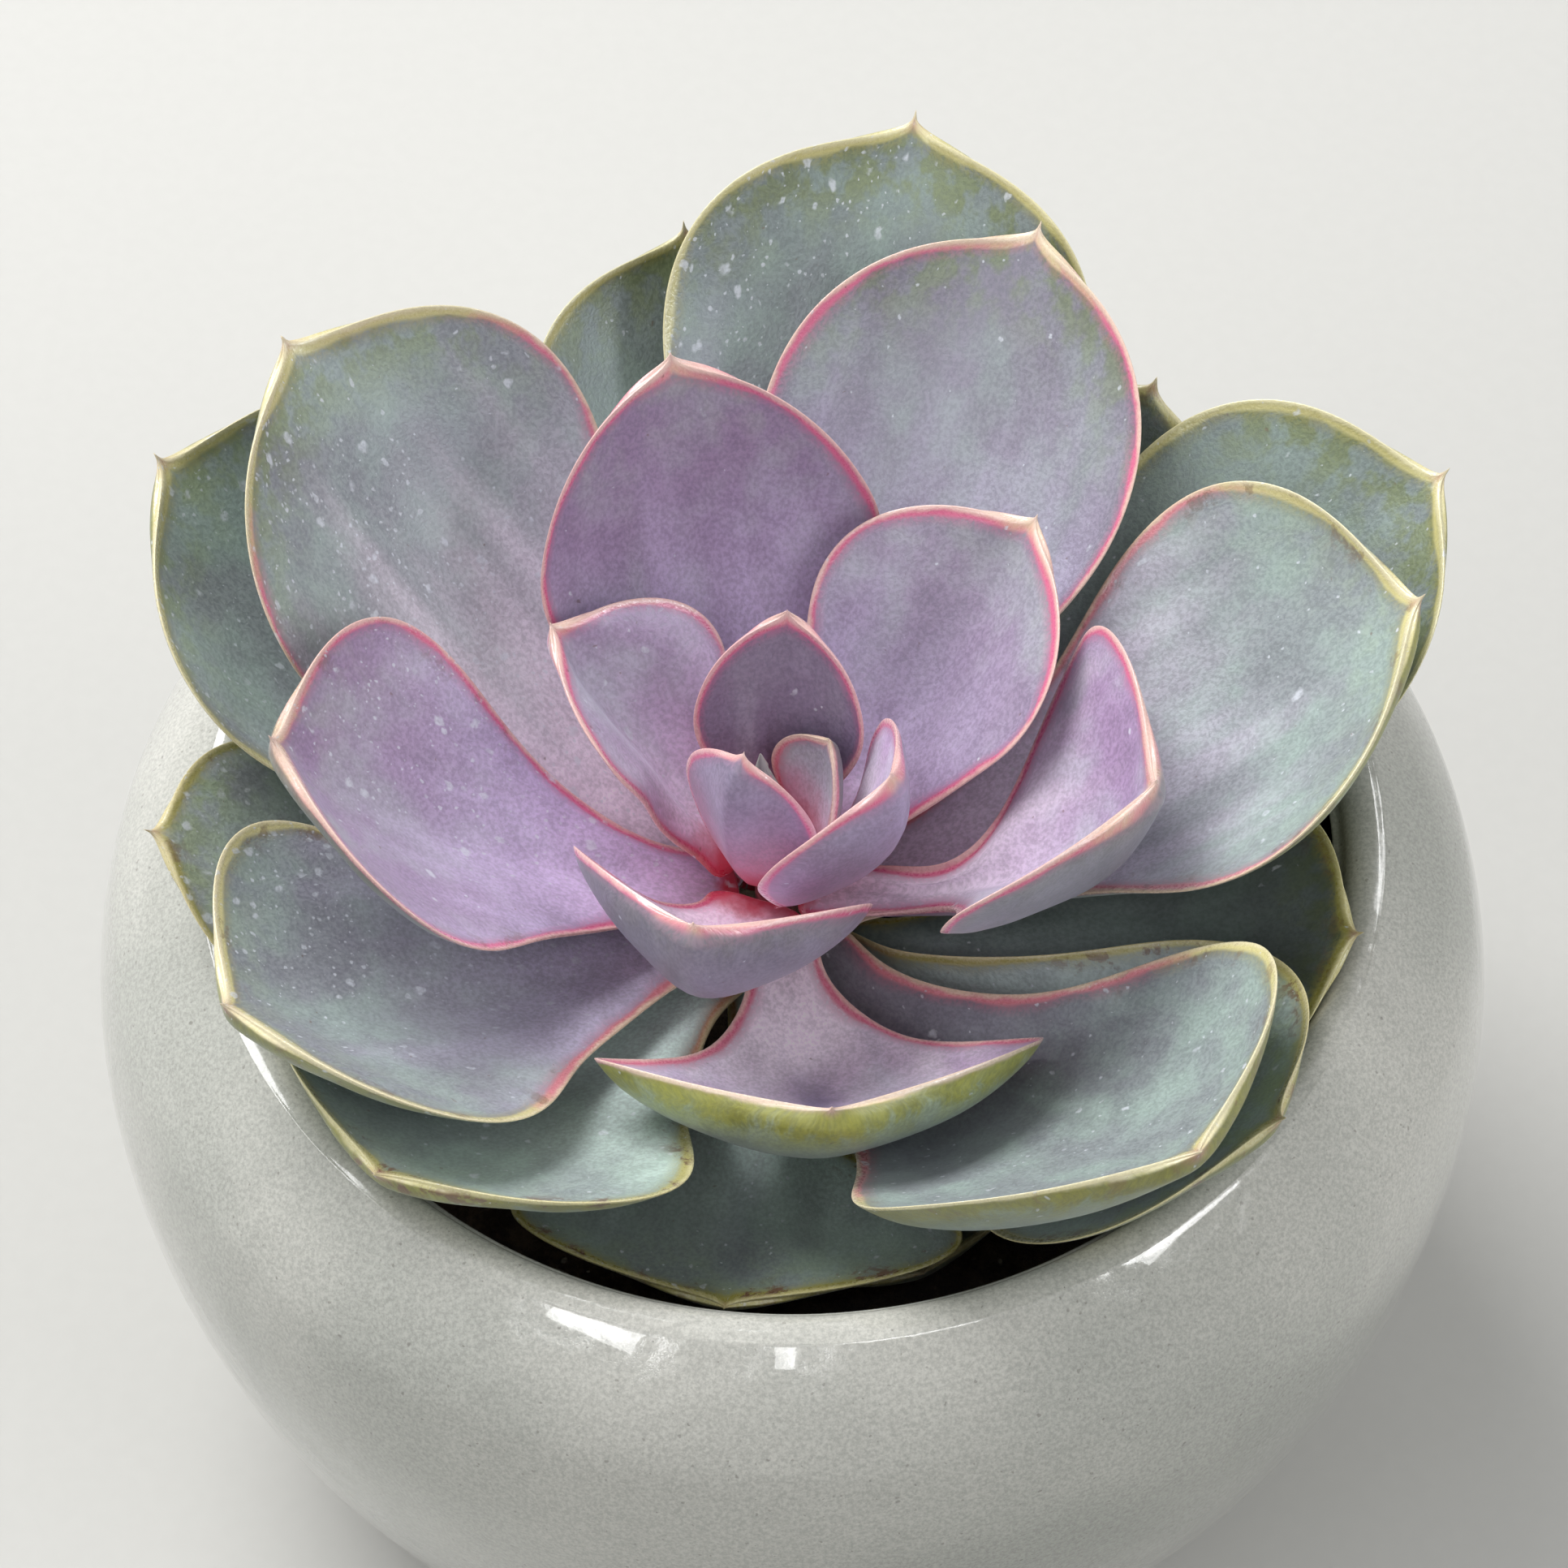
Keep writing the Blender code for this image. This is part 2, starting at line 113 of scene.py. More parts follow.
# How each leaf departs from the palette. Mauve: how far its inner face is mauve and not grey green. Tone and root:
# how light its inner face is, and its root. Outer: how light its outer face is. These three follow how light each
# leaf looks, so besides the leaf's own colour they hold painted light and shade: leaves and their roots lighter or
# darker for the light they get, most roots lit up against the shade that falls on them. Pink: how far its margins
# are pink along the sides. Cream: how pale, and not olive, its margin is at the tip. Reach: the share of its length,
# from the tip, with that margin. Water: how thickly dried drops speckle it. Side: where they lie, from 1 on the side
# that faces anticlockwise to -1 on the other. Moss and brush: how green its inner and its outer face turn near the
# margin. Scar: how far its margin has browned. Rib: how dark its midrib is, a painted shade in the midrib's groove.
Look = namedtuple("Look", "mauve tone root outer pink cream reach water side moss brush scar rib")
LOOKS = (
    Look(0.30, 1.30, 1.7, 0.60, 0.8, 0.9, 0.03, 0.0, 0, 0.2, 0.0, 0.0, 0.0),
    Look(0.90, 1.05, 1.3, 0.75, 1.0, 0.9, 0.02, 0.03, 0, 0.0, 0.0, 0.0, 0.0),
    Look(0.95, 0.66, 0.45, 1.00, 1.0, 0.9, 0.03, 0.03, 0, 0.0, 0.0, 0.0, 0.0),
    Look(0.90, 1.60, 1.8, 0.86, 1.0, 0.9, 0.02, 0.03, 0, 0.0, 0.0, 0.0, 0.0),
    Look(0.75, 1.24, 1.6, 1.40, 1.0, 0.9, 0.02, 0.25, 1, 0.0, 0.0, 0.0, 0.0),
    Look(0.62, 0.98, 0.95, 1.00, 1.0, 0.9, 0.03, 0.03, 0, 0.1, 0.0, 0.0, 0.0),
    Look(0.80, 1.20, 1.75, 0.68, 1.0, 0.9, 0.02, 0.03, 0, 0.0, 0.1, 0.0, 0.1),
    Look(0.83, 0.90, 1.1, 1.00, 1.0, 0.8, 0.02, 0.03, 0, 0.2, 0.0, 0.0, 0.0),
    Look(0.77, 1.16, 1.8, 0.80, 1.0, 0.8, 0.03, 0.03, 0, 0.0, 0.1, 0.1, 0.1),
    Look(0.75, 1.08, 1.2, 0.70, 1.0, 0.7, 0.05, 0.9, -1, 0.2, 0.3, 0.4, 0.0),
    Look(0.42, 0.77, 1.0, 1.00, 1.0, 0.9, 0.05, 0.1, 0, 0.9, 0.2, 0.0, 0.0),
    Look(0.75, 1.48, 1.9, 1.40, 0.9, 0.9, 0.18, 0.03, 0, 0.0, 1.0, 0.1, 0.8),
    Look(0.20, 0.95, 1.9, 1.00, 0.9, 0.7, 0.16, 1.0, 1, 0.9, 0.4, 0.1, 0.0),
    Look(0.12, 1.00, 1.8, 1.00, 0.8, 0.8, 0.20, 0.2, 0, 0.3, 0.9, 0.5, 0.0),
    Look(0.22, 0.94, 1.3, 0.90, 0.8, 0.8, 0.40, 1.0, -1, 0.3, 0.8, 0.5, 0.0),
    Look(0.05, 0.72, 1.0, 1.00, 0.5, 0.6, 0.70, 0.7, 1, 1.5, 0.8, 0.1, 0.0),
    Look(0.10, 0.97, 0.6, 0.90, 0.8, 0.9, 0.40, 0.3, 0, 0.1, 1.0, 0.4, 0.0),
    Look(0.15, 1.12, 1.3, 0.80, 0.4, 0.6, 0.80, 1.0, 0, 0.8, 0.8, 0.1, 0.0),
    Look(0.05, 0.74, 1.1, 0.80, 0.4, 0.7, 0.75, 0.2, 0, 1.4, 0.8, 0.1, 0.0),
    Look(0.10, 1.25, 1.3, 0.80, 0.3, 0.4, 0.90, 0.1, 0, 0.8, 0.8, 0.8, 0.0),
    Look(0.05, 1.18, 2.1, 0.95, 0.4, 0.4, 0.60, 0.3, 0, 0.2, 1.0, 0.9, 0.0),
    Look(0.20, 1.32, 1.1, 0.90, 0.2, 0.2, 0.90, 1.0, 0, 0.7, 0.7, 0.5, 0.0),
    Look(0.05, 0.38, 0.6, 0.50, 0.2, 0.1, 0.90, 0.1, 0, 1.0, 1.0, 0.4, 0.0),
    Look(0.05, 0.80, 0.9, 0.75, 0.1, 0.5, 0.90, 0.2, 0, 1.0, 1.0, 0.1, 0.0),
    Look(0.10, 0.60, 0.7, 0.60, 0.1, 0.6, 0.90, 0.1, 0, 0.8, 0.8, 0.4, 0.0),
    Look(0.05, 0.95, 2.5, 0.80, 0.3, 0.1, 0.60, 0.4, 0, 0.5, 0.9, 1.0, 0.2),
    Look(0.20, 0.50, 0.7, 0.60, 0.3, 0.3, 0.60, 0.1, 0, 0.5, 0.5, 0.4, 0.0),
)

# How far the halves of a leaf are drawn flat, so that it folds along its midrib.
FOLDS = {
    "leaf_02": 0.85, "leaf_04": 0.4, "leaf_05": 0.8, "leaf_06": 0.5, "leaf_07": 0.4, "leaf_09": 0.6,
    "leaf_10": 0.3, "leaf_15": 0.3,
}

# How wide the rings nearest the tip of a leaf with a drawn-out tip stay, from the root side on.
NIPPED = {"leaf_26": (0.93, 0.80, 0.66, 0.60)}

# Relief of a full-sized leaf: the groove along its midrib, the deeper valley where it is folded, and its sharp tip,
# which is drawn out this far and made this much slimmer.
GROOVE_DEPTH = 0.30 * MM
VALLEY_DEPTH = 1.2 * MM
SPINE_RISE = 0.5 * MM
SPINE_SLIMMING = 0.60

# A leaf's faces rise by at most this share of the room beside them, which is looked for as far as the reach.
ROOM_SHARE = 0.6
ROOM_REACH = 3.0 * MM

# The broad clouds on a leaf's skin are about this many millimetres across.
CLOUD_SIZE = 13.0

# The soil's turned shape, its crumbs, the rings of the stem, and the leaves that wrap the bud.
SOIL_STEPS = 72
CRUMB_SEED = 11
STEM_RING = 2.6 * MM
STEM_RELIEF = 0.06
BUD_LEAVES = 3.0
BUD_RELIEF = 0.25 * MM


def rgb(code):
    """Linear colour of a six-digit sRGB code."""
    shares = [int(code[place : place + 2], 16) / 255.0 for place in (0, 2, 4)]
    return tuple(s / 12.92 if s <= 0.04045 else ((s + 0.055) / 1.055) ** 2.4 for s in shares)


def colour_setting(name, description, code):
    """A colour that a user can change."""
    return bpy.props.FloatVectorProperty(
        name=name, description=description, default=rgb(code), subtype="COLOR", size=3, min=0.0, max=1.0
    )


def number_setting(name, description, default, subtype="NONE", unit="NONE"):
    """A number that a user can change, never below 0."""
    return bpy.props.FloatProperty(
        name=name, description=description, default=default, min=0.0, subtype=subtype, unit=unit
    )


def length_setting(name, description, default):
    """A length that a user can change, in metres."""
    return number_setting(name, description, default, "DISTANCE", "LENGTH")


class EcheveriaLeafSettings(bpy.types.PropertyGroup):
    """Sizes and colours of the leaves."""

    mauve: colour_setting("Mauve skin", "Inner face of a young leaf", "A58AAD")
    grey_green: colour_setting("Grey green skin", "Inner face of a grown leaf", "90A199")
    lavender: colour_setting("Lavender base", "Inner face near the root of a leaf", "C4B0D4")
    flush: colour_setting("Pink flush", "Tint of the root of a young leaf", "DB9BB4")
    moss: colour_setting("Moss tint", "Tint inside the margin near the tip of a grown leaf", "7F8A5F")
    outside_young: colour_setting("Outer face, young", "Outer face of a young leaf", "AC9CBB")
    outside_grown: colour_setting("Outer face, grown", "Outer face of a grown leaf", "93A08C")
    outside_moss: colour_setting("Outer moss tint", "Tint on the outer face near the margin", "8B8C36")
    pink: colour_setting("Pink margin", "Margin along the sides of a young leaf", "DE6A8E")
    rose: colour_setting("Rose fade", "Fade inside the pink margin", "B9557F")
    cream: colour_setting("Cream margin", "Margin near the tip of a leaf", "E2D896")
    olive: colour_setting("Olive margin", "Margin of an old leaf", "90882E")
    # The outermost line of the margin is partly the margin's own pale colour, partly a painted highlight on its thin
    # edge.
    edge: colour_setting("Edge, young", "The outermost line of the margin of a young leaf", "F1C7C5")
    edge_grown: colour_setting("Edge, grown", "The outermost line of the margin of a grown leaf", "F0E9C9")
    # The midrib's dark line is painted shade in the midrib's groove.
    rib: colour_setting("Midrib", "Dark line along the middle of the inner face", "6E5A86")
    blush: colour_setting("Heart red", "Glow at the roots of the young leaves", "C92A45")
    scar: colour_setting("Scar", "Margin where a grown leaf was bruised", "6E4A2E")
    spine: colour_setting("Spine", "The sharp tip of a leaf", "B87C70")
    bloom: colour_setting("Dried drops", "Specks that dried drops leave", "DEE2EA")
    bead: length_setting("Margin bead", "How far the margin's bead stands out", 0.00010)
    bead_width: length_setting("Bead width", "Width of the bead along the margin", 0.0009)
    undulation: length_setting("Undulation", "Unevenness of the leaf faces", 0.00028)
    keel: length_setting("Keel", "Height of the keel on the outer face", 0.0010)
    gap: length_setting("Gap", "Where a leaf has less room than this beside it, its faces are drawn in", 0.0004)


class EcheveriaPotSettings(bpy.types.PropertyGroup):
    """Sizes and colours of the glazed pot."""

    glaze: colour_setting("Glaze", "Colour of the glaze", "C0BFB8")
    cloud: colour_setting("Glaze clouds", "Colour that clouds the glaze", "AEAFA8")
    speck: colour_setting("Specks", "Iron specks in the glaze", "5E5850")
    body: colour_setting("Fired clay", "Bare clay under the foot", "B7A68D")
    steps: bpy.props.IntProperty(name="Steps", description="Steps of the turned shape", default=64, min=24, max=96)


class EcheveriaSoilSettings(bpy.types.PropertyGroup):
    """Sizes and colours of soil, stem and bud."""

    earth: colour_setting("Earth", "Potting soil", "33271D")
    earth_dry: colour_setting("Dry earth", "Dry crumbs of soil", "5C4A39")
    grit: colour_setting("Grit", "Pale grit in the soil", "9C9283")
    crumbs: bpy.props.IntProperty(name="Crumbs", description="Crumbs on the soil", default=420, min=0, max=900)
    crumb_size: length_setting("Crumb size", "Greatest radius of a crumb", 0.0016)
    heart: colour_setting("Stem top", "The living top of the stem, between the young leaves", "C0405A")
    bark: colour_setting("Bark", "Skin of the stem", "6F6551")
    bark_scar: colour_setting("Leaf scars", "Scars on the stem", "A59A82")
    bud: colour_setting("Bud", "Closed bud in the heart", "A3A79D")


class EcheveriaStudioSettings(bpy.types.PropertyGroup):
    """Light, floor and camera."""

    floor: colour_setting("Floor", "Plain floor", "CAC9C5")
    floor_bounce: colour_setting("Floor bounce", "What the floor throws back on the part", "7E8078")
    backdrop: colour_setting("Backdrop", "Far floor and backdrop as they show", "DCDCD8")
    key_power: number_setting("Key light", "Power of the large lamp above and behind", 18.0, "POWER", "POWER")
    fill_power: number_setting("Fill light", "Power of the lamps in front, on each side", 3.8, "POWER", "POWER")
    sparkle_power: number_setting("Sparkles", "Power of the small lamps that glint in the glaze, per area", 50.0)
    sky: number_setting("Sky", "Strength of the even light", 0.38)
    distance: length_setting("Camera distance", "From the camera to the widest part of the pot", 0.55)
    tilt: number_setting("Camera tilt", "How far the camera looks down", math.radians(57.0), "ANGLE", "ROTATION")


# ---------------------------------------------------------------- shader graphs


class Graph:
    """Adds nodes to a node tree."""

    def __init__(self, tree):
        self.tree = tree

    def feed(self, node, values):
        """Gives each named input of a node a number, a colour or another node's output."""
        for name, value in values.items():
            socket = node.inputs[name]
            if isinstance(value, bpy.types.NodeSocket):
                self.tree.links.new(value, socket)
            elif socket.type == "RGBA" and len(value) == 3:
                socket.default_value = (*value, 1.0)
            else:
                socket.default_value = value

    def add(self, kind, inputs, **settings):
        """A node with its inputs and settings."""
        node = self.tree.nodes.new(kind)
        for name, value in settings.items():
            setattr(node, name, value)
        self.feed(node, inputs)
        return node

    def math(self, operation, first, second=0.0):
        """Arithmetic on values."""
        return self.add("ShaderNodeMath", {0: first, 1: second}, operation=operation).outputs[0]

    def plus(self, first, *others):
        """Sum of values."""
        for other in others:
            first = self.math("ADD", first, other)
        return first

    def times(self, first, *others):
        """Product of values."""
        for other in others:
            first = self.math("MULTIPLY", first, other)
        return first

    def ramp(self, value, low, high, start=0.0, end=1.0):
        """Smooth step of a value from one place to another."""
        inputs = {"Value": value, "From Min": low, "From Max": high, "To Min": start, "To Max": end}
        return self.add("ShaderNodeMapRange", inputs, interpolation_type="SMOOTHSTEP").outputs[0]

    def mix(self, share, first, second):
        """Mix of two colours."""
        return self.add("ShaderNodeMix", {0: share, 6: first, 7: second}, data_type="RGBA").outputs[2]

    def lit(self, colour, value):
        """The colour made lighter or darker."""
        return self.add("ShaderNodeHueSaturation", {"Color": colour, "Value": value}).outputs[0]

    def noise(self, vector, scale, detail=2.0, roughness=0.5):
        """Soft noise from 0 to 1."""
        inputs = {"Vector": vector, "Scale": scale, "Detail": detail, "Roughness": roughness}
        return self.add("ShaderNodeTexNoise", inputs).outputs[0]

    def scaled(self, vector, *scale):
        """A vector scaled along its axes."""
        return self.add("ShaderNodeMapping", {"Vector": vector, "Scale": scale}).outputs[0]

    def axes(self, vector):
        """The three parts of a vector."""
        return self.add("ShaderNodeSeparateXYZ", {"Vector": vector}).outputs

    def attribute(self, name, output):
        """An attribute of the mesh."""
        return self.add("ShaderNodeAttribute", {}, attribute_name=name).outputs[output]

    def group(self, name, build, inputs):
        """The outputs of a shared shader group, built when it is first given its inputs, which are sorted by kind."""
        tree = bpy.data.node_groups.get(name) or new_group(name, build, inputs)
        return self.add("ShaderNodeGroup", flat(inputs), node_tree=tree).outputs

    def specks(self, vector, spacing, size, amount):
        """Mask of scattered specks, from a vector in millimetres."""
        inputs = {"Vector": {"Vector": vector}, "Float": {"Spacing": spacing, "Size": size, "Amount": amount}}
        return self.group("Echeveria specks", build_specks, inputs)[0]


def flat(kinds):
    """The values of all kinds in one dictionary."""
    return {name: value for values in kinds.values() for name, value in values.items()}


def new_group(name, build, inputs):
    """A new shader group with sockets for these inputs and for the outputs that build returns, sorted by kind."""
    tree = bpy.data.node_groups.new(name, "ShaderNodeTree")
    graph = Graph(tree)

    def add_sockets(side, kinds):
        for kind, values in kinds.items():
            for label in values:
                tree.interface.new_socket(label, in_out=side, socket_type="NodeSocket" + kind)

    add_sockets("INPUT", inputs)
    outputs = build(graph, graph.add("NodeGroupInput", {}).outputs)
    add_sockets("OUTPUT", outputs)
    graph.add("NodeGroupOutput", flat(outputs))
    return tree


def build_specks(graph, given):
    """Scattered specks of differing sizes: a mask from a vector in millimetres."""
    place, spacing = given["Vector"], given["Spacing"]
    scale = graph.math("DIVIDE", 1.0, spacing)
    bend = graph.add("ShaderNodeTexNoise", {"Vector": place, "Scale": graph.times(scale, 1.7)}).outputs["Color"]
    for operation, inputs in (
        ("SUBTRACT", {1: (0.5, 0.5, 0.5)}),
        ("SCALE", {"Scale": graph.times(spacing, 0.6)}),
        ("ADD", {1: place}),
    ):
        bend = graph.add("ShaderNodeVectorMath", {0: bend, **inputs}, operation=operation).outputs[0]
    cells = graph.add("ShaderNodeTexVoronoi", {"Vector": bend, "Scale": scale}, feature="F1").outputs
    chance = graph.add("ShaderNodeSeparateColor", {"Color": cells["Color"]}).outputs
    cluster = graph.noise(place, graph.times(scale, 0.13))
    wanted = graph.times(given["Amount"], graph.ramp(cluster, 0.24, 0.56))
    present = graph.math("LESS_THAN", chance[0], wanted)
    size = graph.times(given["Size"], graph.plus(graph.math("POWER", chance[1], 2.5), 0.35))
    near = graph.math("SUBTRACT", 1.0, graph.math("DIVIDE", cells["Distance"], size))
    return {"Float": {"Mask": graph.times(graph.ramp(near, 0.0, 0.5), present)}}


def build_leaf_skin(graph, given):
    """Skin of a leaf: powdery face, lavender base, coloured margin, dried drops. Lengths are in millimetres."""
    place = graph.add("ShaderNodeVectorMath", {0: given["Blade Place"], 1: given["Seed"]}, operation="ADD").outputs[0]
    drawn = graph.scaled(place, 1.0, 0.75, 1.0)
    across, up, side = graph.axes(given["Blade Place"])
    margin, along = given["Margin"], given["Along"]

    # The skin's mottling: broad clouds, small patches and a fine grain, each from -1 to 1.
    clouds, patches, grain = (
        graph.ramp(graph.noise(drawn, finer / CLOUD_SIZE, detail, 0.6), 0.32, 0.68, -1.0, 1.0)
        for finer, detail in ((1.0, 2.0), (4.5, 3.0), (30.0, 3.0))
    )
    streaks = graph.noise(graph.scaled(place, 1.0, 0.06, 1.0), 0.20, 1.5)

    # The face fades from the lavender base to its own two colours, unevenly, with soft bands that run lengthwise.
    face = graph.mix(graph.ramp(graph.plus(clouds, graph.times(patches, 0.3)), -1.0, 1.2),
                     given["Face"], given["Second Face"])
    climb = graph.plus(along, graph.times(patches, 0.03), graph.times(graph.plus(streaks, -0.5), 0.55))
    inner = graph.mix(graph.ramp(climb, 0.18, 0.82), given["Base"], face)
    flush = graph.times(graph.ramp(along, 0.36, 0.06), given["Flush Amount"])
    inner = graph.mix(flush, inner, given["Flush"])
    mossy = graph.times(graph.ramp(along, 0.60, 0.95), graph.ramp(margin, 14.0, 1.0),
                        graph.ramp(patches, -0.9, 0.9), given["Moss Amount"])
    inner = graph.mix(mossy, inner, given["Moss"])
    # A dark line along the midrib: painted shade in its groove.
    rib = graph.ramp(graph.math("ABSOLUTE", graph.plus(across, graph.times(patches, 0.6))), 3.6, 0.0)
    rib = graph.times(rib, graph.ramp(along, 0.35, 0.65), graph.ramp(along, 1.0, 0.8), given["Rib Amount"])
    inner = graph.mix(rib, inner, given["Rib"])
    pale = graph.ramp(streaks, 0.50, 0.75, 0.0, 0.28)
    inner = graph.mix(graph.times(pale, graph.ramp(along, 0.85, 0.30)), inner, given["Drops"])

    # The outer face: its own colour, rose and a little darker near the root of a young leaf, partly its own flush and
    # partly painted shade and red light thrown back from the leaves round it, and brushed with moss near the margin.
    under_climb = graph.plus(along, graph.times(clouds, 0.08))
    outer = graph.mix(graph.ramp(under_climb, 0.25, 0.85), given["Outside Base"], given["Outside"])
    brushed = graph.noise(graph.scaled(place, 1.0, 0.3, 1.0), 0.35, 4.0, 0.7)
    grown = graph.times(given["Brush Amount"], graph.ramp(along, 0.4, 0.7))
    mossy = graph.times(graph.ramp(brushed, 0.30, 0.65, 0.2, 1.0), graph.ramp(margin, 12.0, 0.5), grown)
    outer = graph.mix(mossy, outer, given["Outside Moss"])
    banded = graph.plus(margin, graph.ramp(brushed, 0.3, 0.7, 1.5, -1.5))
    banded = graph.times(graph.ramp(banded, 4.2, 1.8, 0.0, 0.75), grown)
    outer = graph.mix(banded, outer, given["Outside Band"])
    skin = graph.mix(graph.ramp(side, -0.02, -0.2), inner, outer)

    # Mottling lightens and darkens the skin.
    value = graph.plus(graph.times(clouds, 0.10), graph.times(patches, 0.08), graph.times(grain, 0.15), 1.0)
    skin = graph.lit(skin, value)

    # The margin: a pale line, partly its own colour and partly a painted highlight on the thin edge, a band, pink
    # along the sides and cream at the tip, and a soft fade inside it.
    tipward = graph.ramp(graph.plus(along, graph.times(patches, 0.02), given["Tip Reach"]), 0.93, 1.05)
    rim = graph.mix(tipward, given["Side Margin"], given["Tip Margin"])
    shade = graph.mix(tipward, given["Side Fade"], given["Tip Fade"])
    width = graph.times(given["Rim Width"], graph.plus(1.0, graph.times(clouds, 0.3)))
    slim = graph.times(given["Brush Amount"], graph.ramp(side, -0.02, -0.2, 0.0, -0.6))
    inside = graph.math("DIVIDE", margin, graph.times(width, graph.plus(1.0, slim)))
    fade = graph.times(graph.ramp(inside, 3.0, 1.0), graph.ramp(side, -0.5, 0.5, 0.30, 0.60),
                       graph.ramp(grain, -1.6, 0.4))
    skin = graph.mix(fade, skin, shade)
    bead = graph.ramp(inside, 1.6, 0.9)
    skin = graph.mix(bead, skin, rim)
    bruise = graph.times(graph.ramp(graph.noise(place, 0.22, 5.0, 0.7), 0.55, 0.62), graph.ramp(margin, 4.5, 0.8),
                         graph.ramp(along, 0.3, 0.5), given["Scar Amount"])
    skin = graph.mix(bruise, skin, given["Scar"])
    skin = graph.mix(graph.ramp(along, 0.965, 0.985, 0.0, 0.7), skin, given["Spine"])
    # The pale line on the very edge: partly the margin's own colour, partly a painted highlight.
    line = graph.ramp(graph.plus(margin, graph.times(patches, 0.15)), 0.85, 0.15, 0.0, 0.75)
    skin = graph.mix(line, skin, given["Edge"])

    # The glow where young leaves meet.
    glow = graph.ramp(graph.plus(up, graph.times(patches, 0.8)), given["Glow Reach"], 0.0)
    skin = graph.mix(glow, skin, given["Glow"])

    # Dried drops, large and small, and fine dark freckles.
    wet = graph.times(across, given["Drop Side"])
    wet = graph.times(graph.ramp(wet, -10.0, 7.0, 0.15, 1.0), given["Drop Amount"])
    small, large = (graph.specks(drawn, spacing, size, wet) for spacing, size in ((0.75, 0.30), (1.8, 0.34)))
    drops = graph.times(graph.math("MAXIMUM", small, large), graph.ramp(grain, -2.0, 1.0, 0.3, 0.7))
    skin = graph.mix(drops, skin, given["Drops"])
    freckles = graph.specks(place, 2.3, 0.10, 0.5)
    skin = graph.mix(graph.times(freckles, 0.5), skin, given["Scar"])

    # The bead along the margin is smoother than the powdery faces.
    rough = graph.plus(0.45, graph.times(grain, 0.05), graph.times(bead, -0.18))
    return {"Color": {"Color": skin}, "Float": {"Roughness": rough, "Height": grain}}


def new_material(name):
    """A material with its graph and shader."""
    made = bpy.data.materials.new(name)
    made.use_nodes = True
    return made, Graph(made.node_tree), made.node_tree.nodes["Principled BSDF"]


def bumped(graph, shader, height, distance):
    """Feeds a height in the shader's normal."""
    bump = graph.add("ShaderNodeBump", {"Height": height, "Distance": distance})
    graph.feed(shader, {"Normal": bump.outputs[0]})


def millimetres(graph):
    """Object coordinates in millimetres."""
    place = graph.add("ShaderNodeTexCoord", {}).outputs["Object"]
    return graph.scaled(place, 1.0 / MM, 1.0 / MM, 1.0 / MM)


def between(share, first, second):
    """Colour at a share of the way from the first colour to the second."""
    return tuple(a * (1.0 - share) + b * share for a, b in zip(first, second))


def toned(tone, colour):
    """The colour made lighter or darker, never whiter than white."""
    return tuple(min(0.9, tone * c) for c in colour)


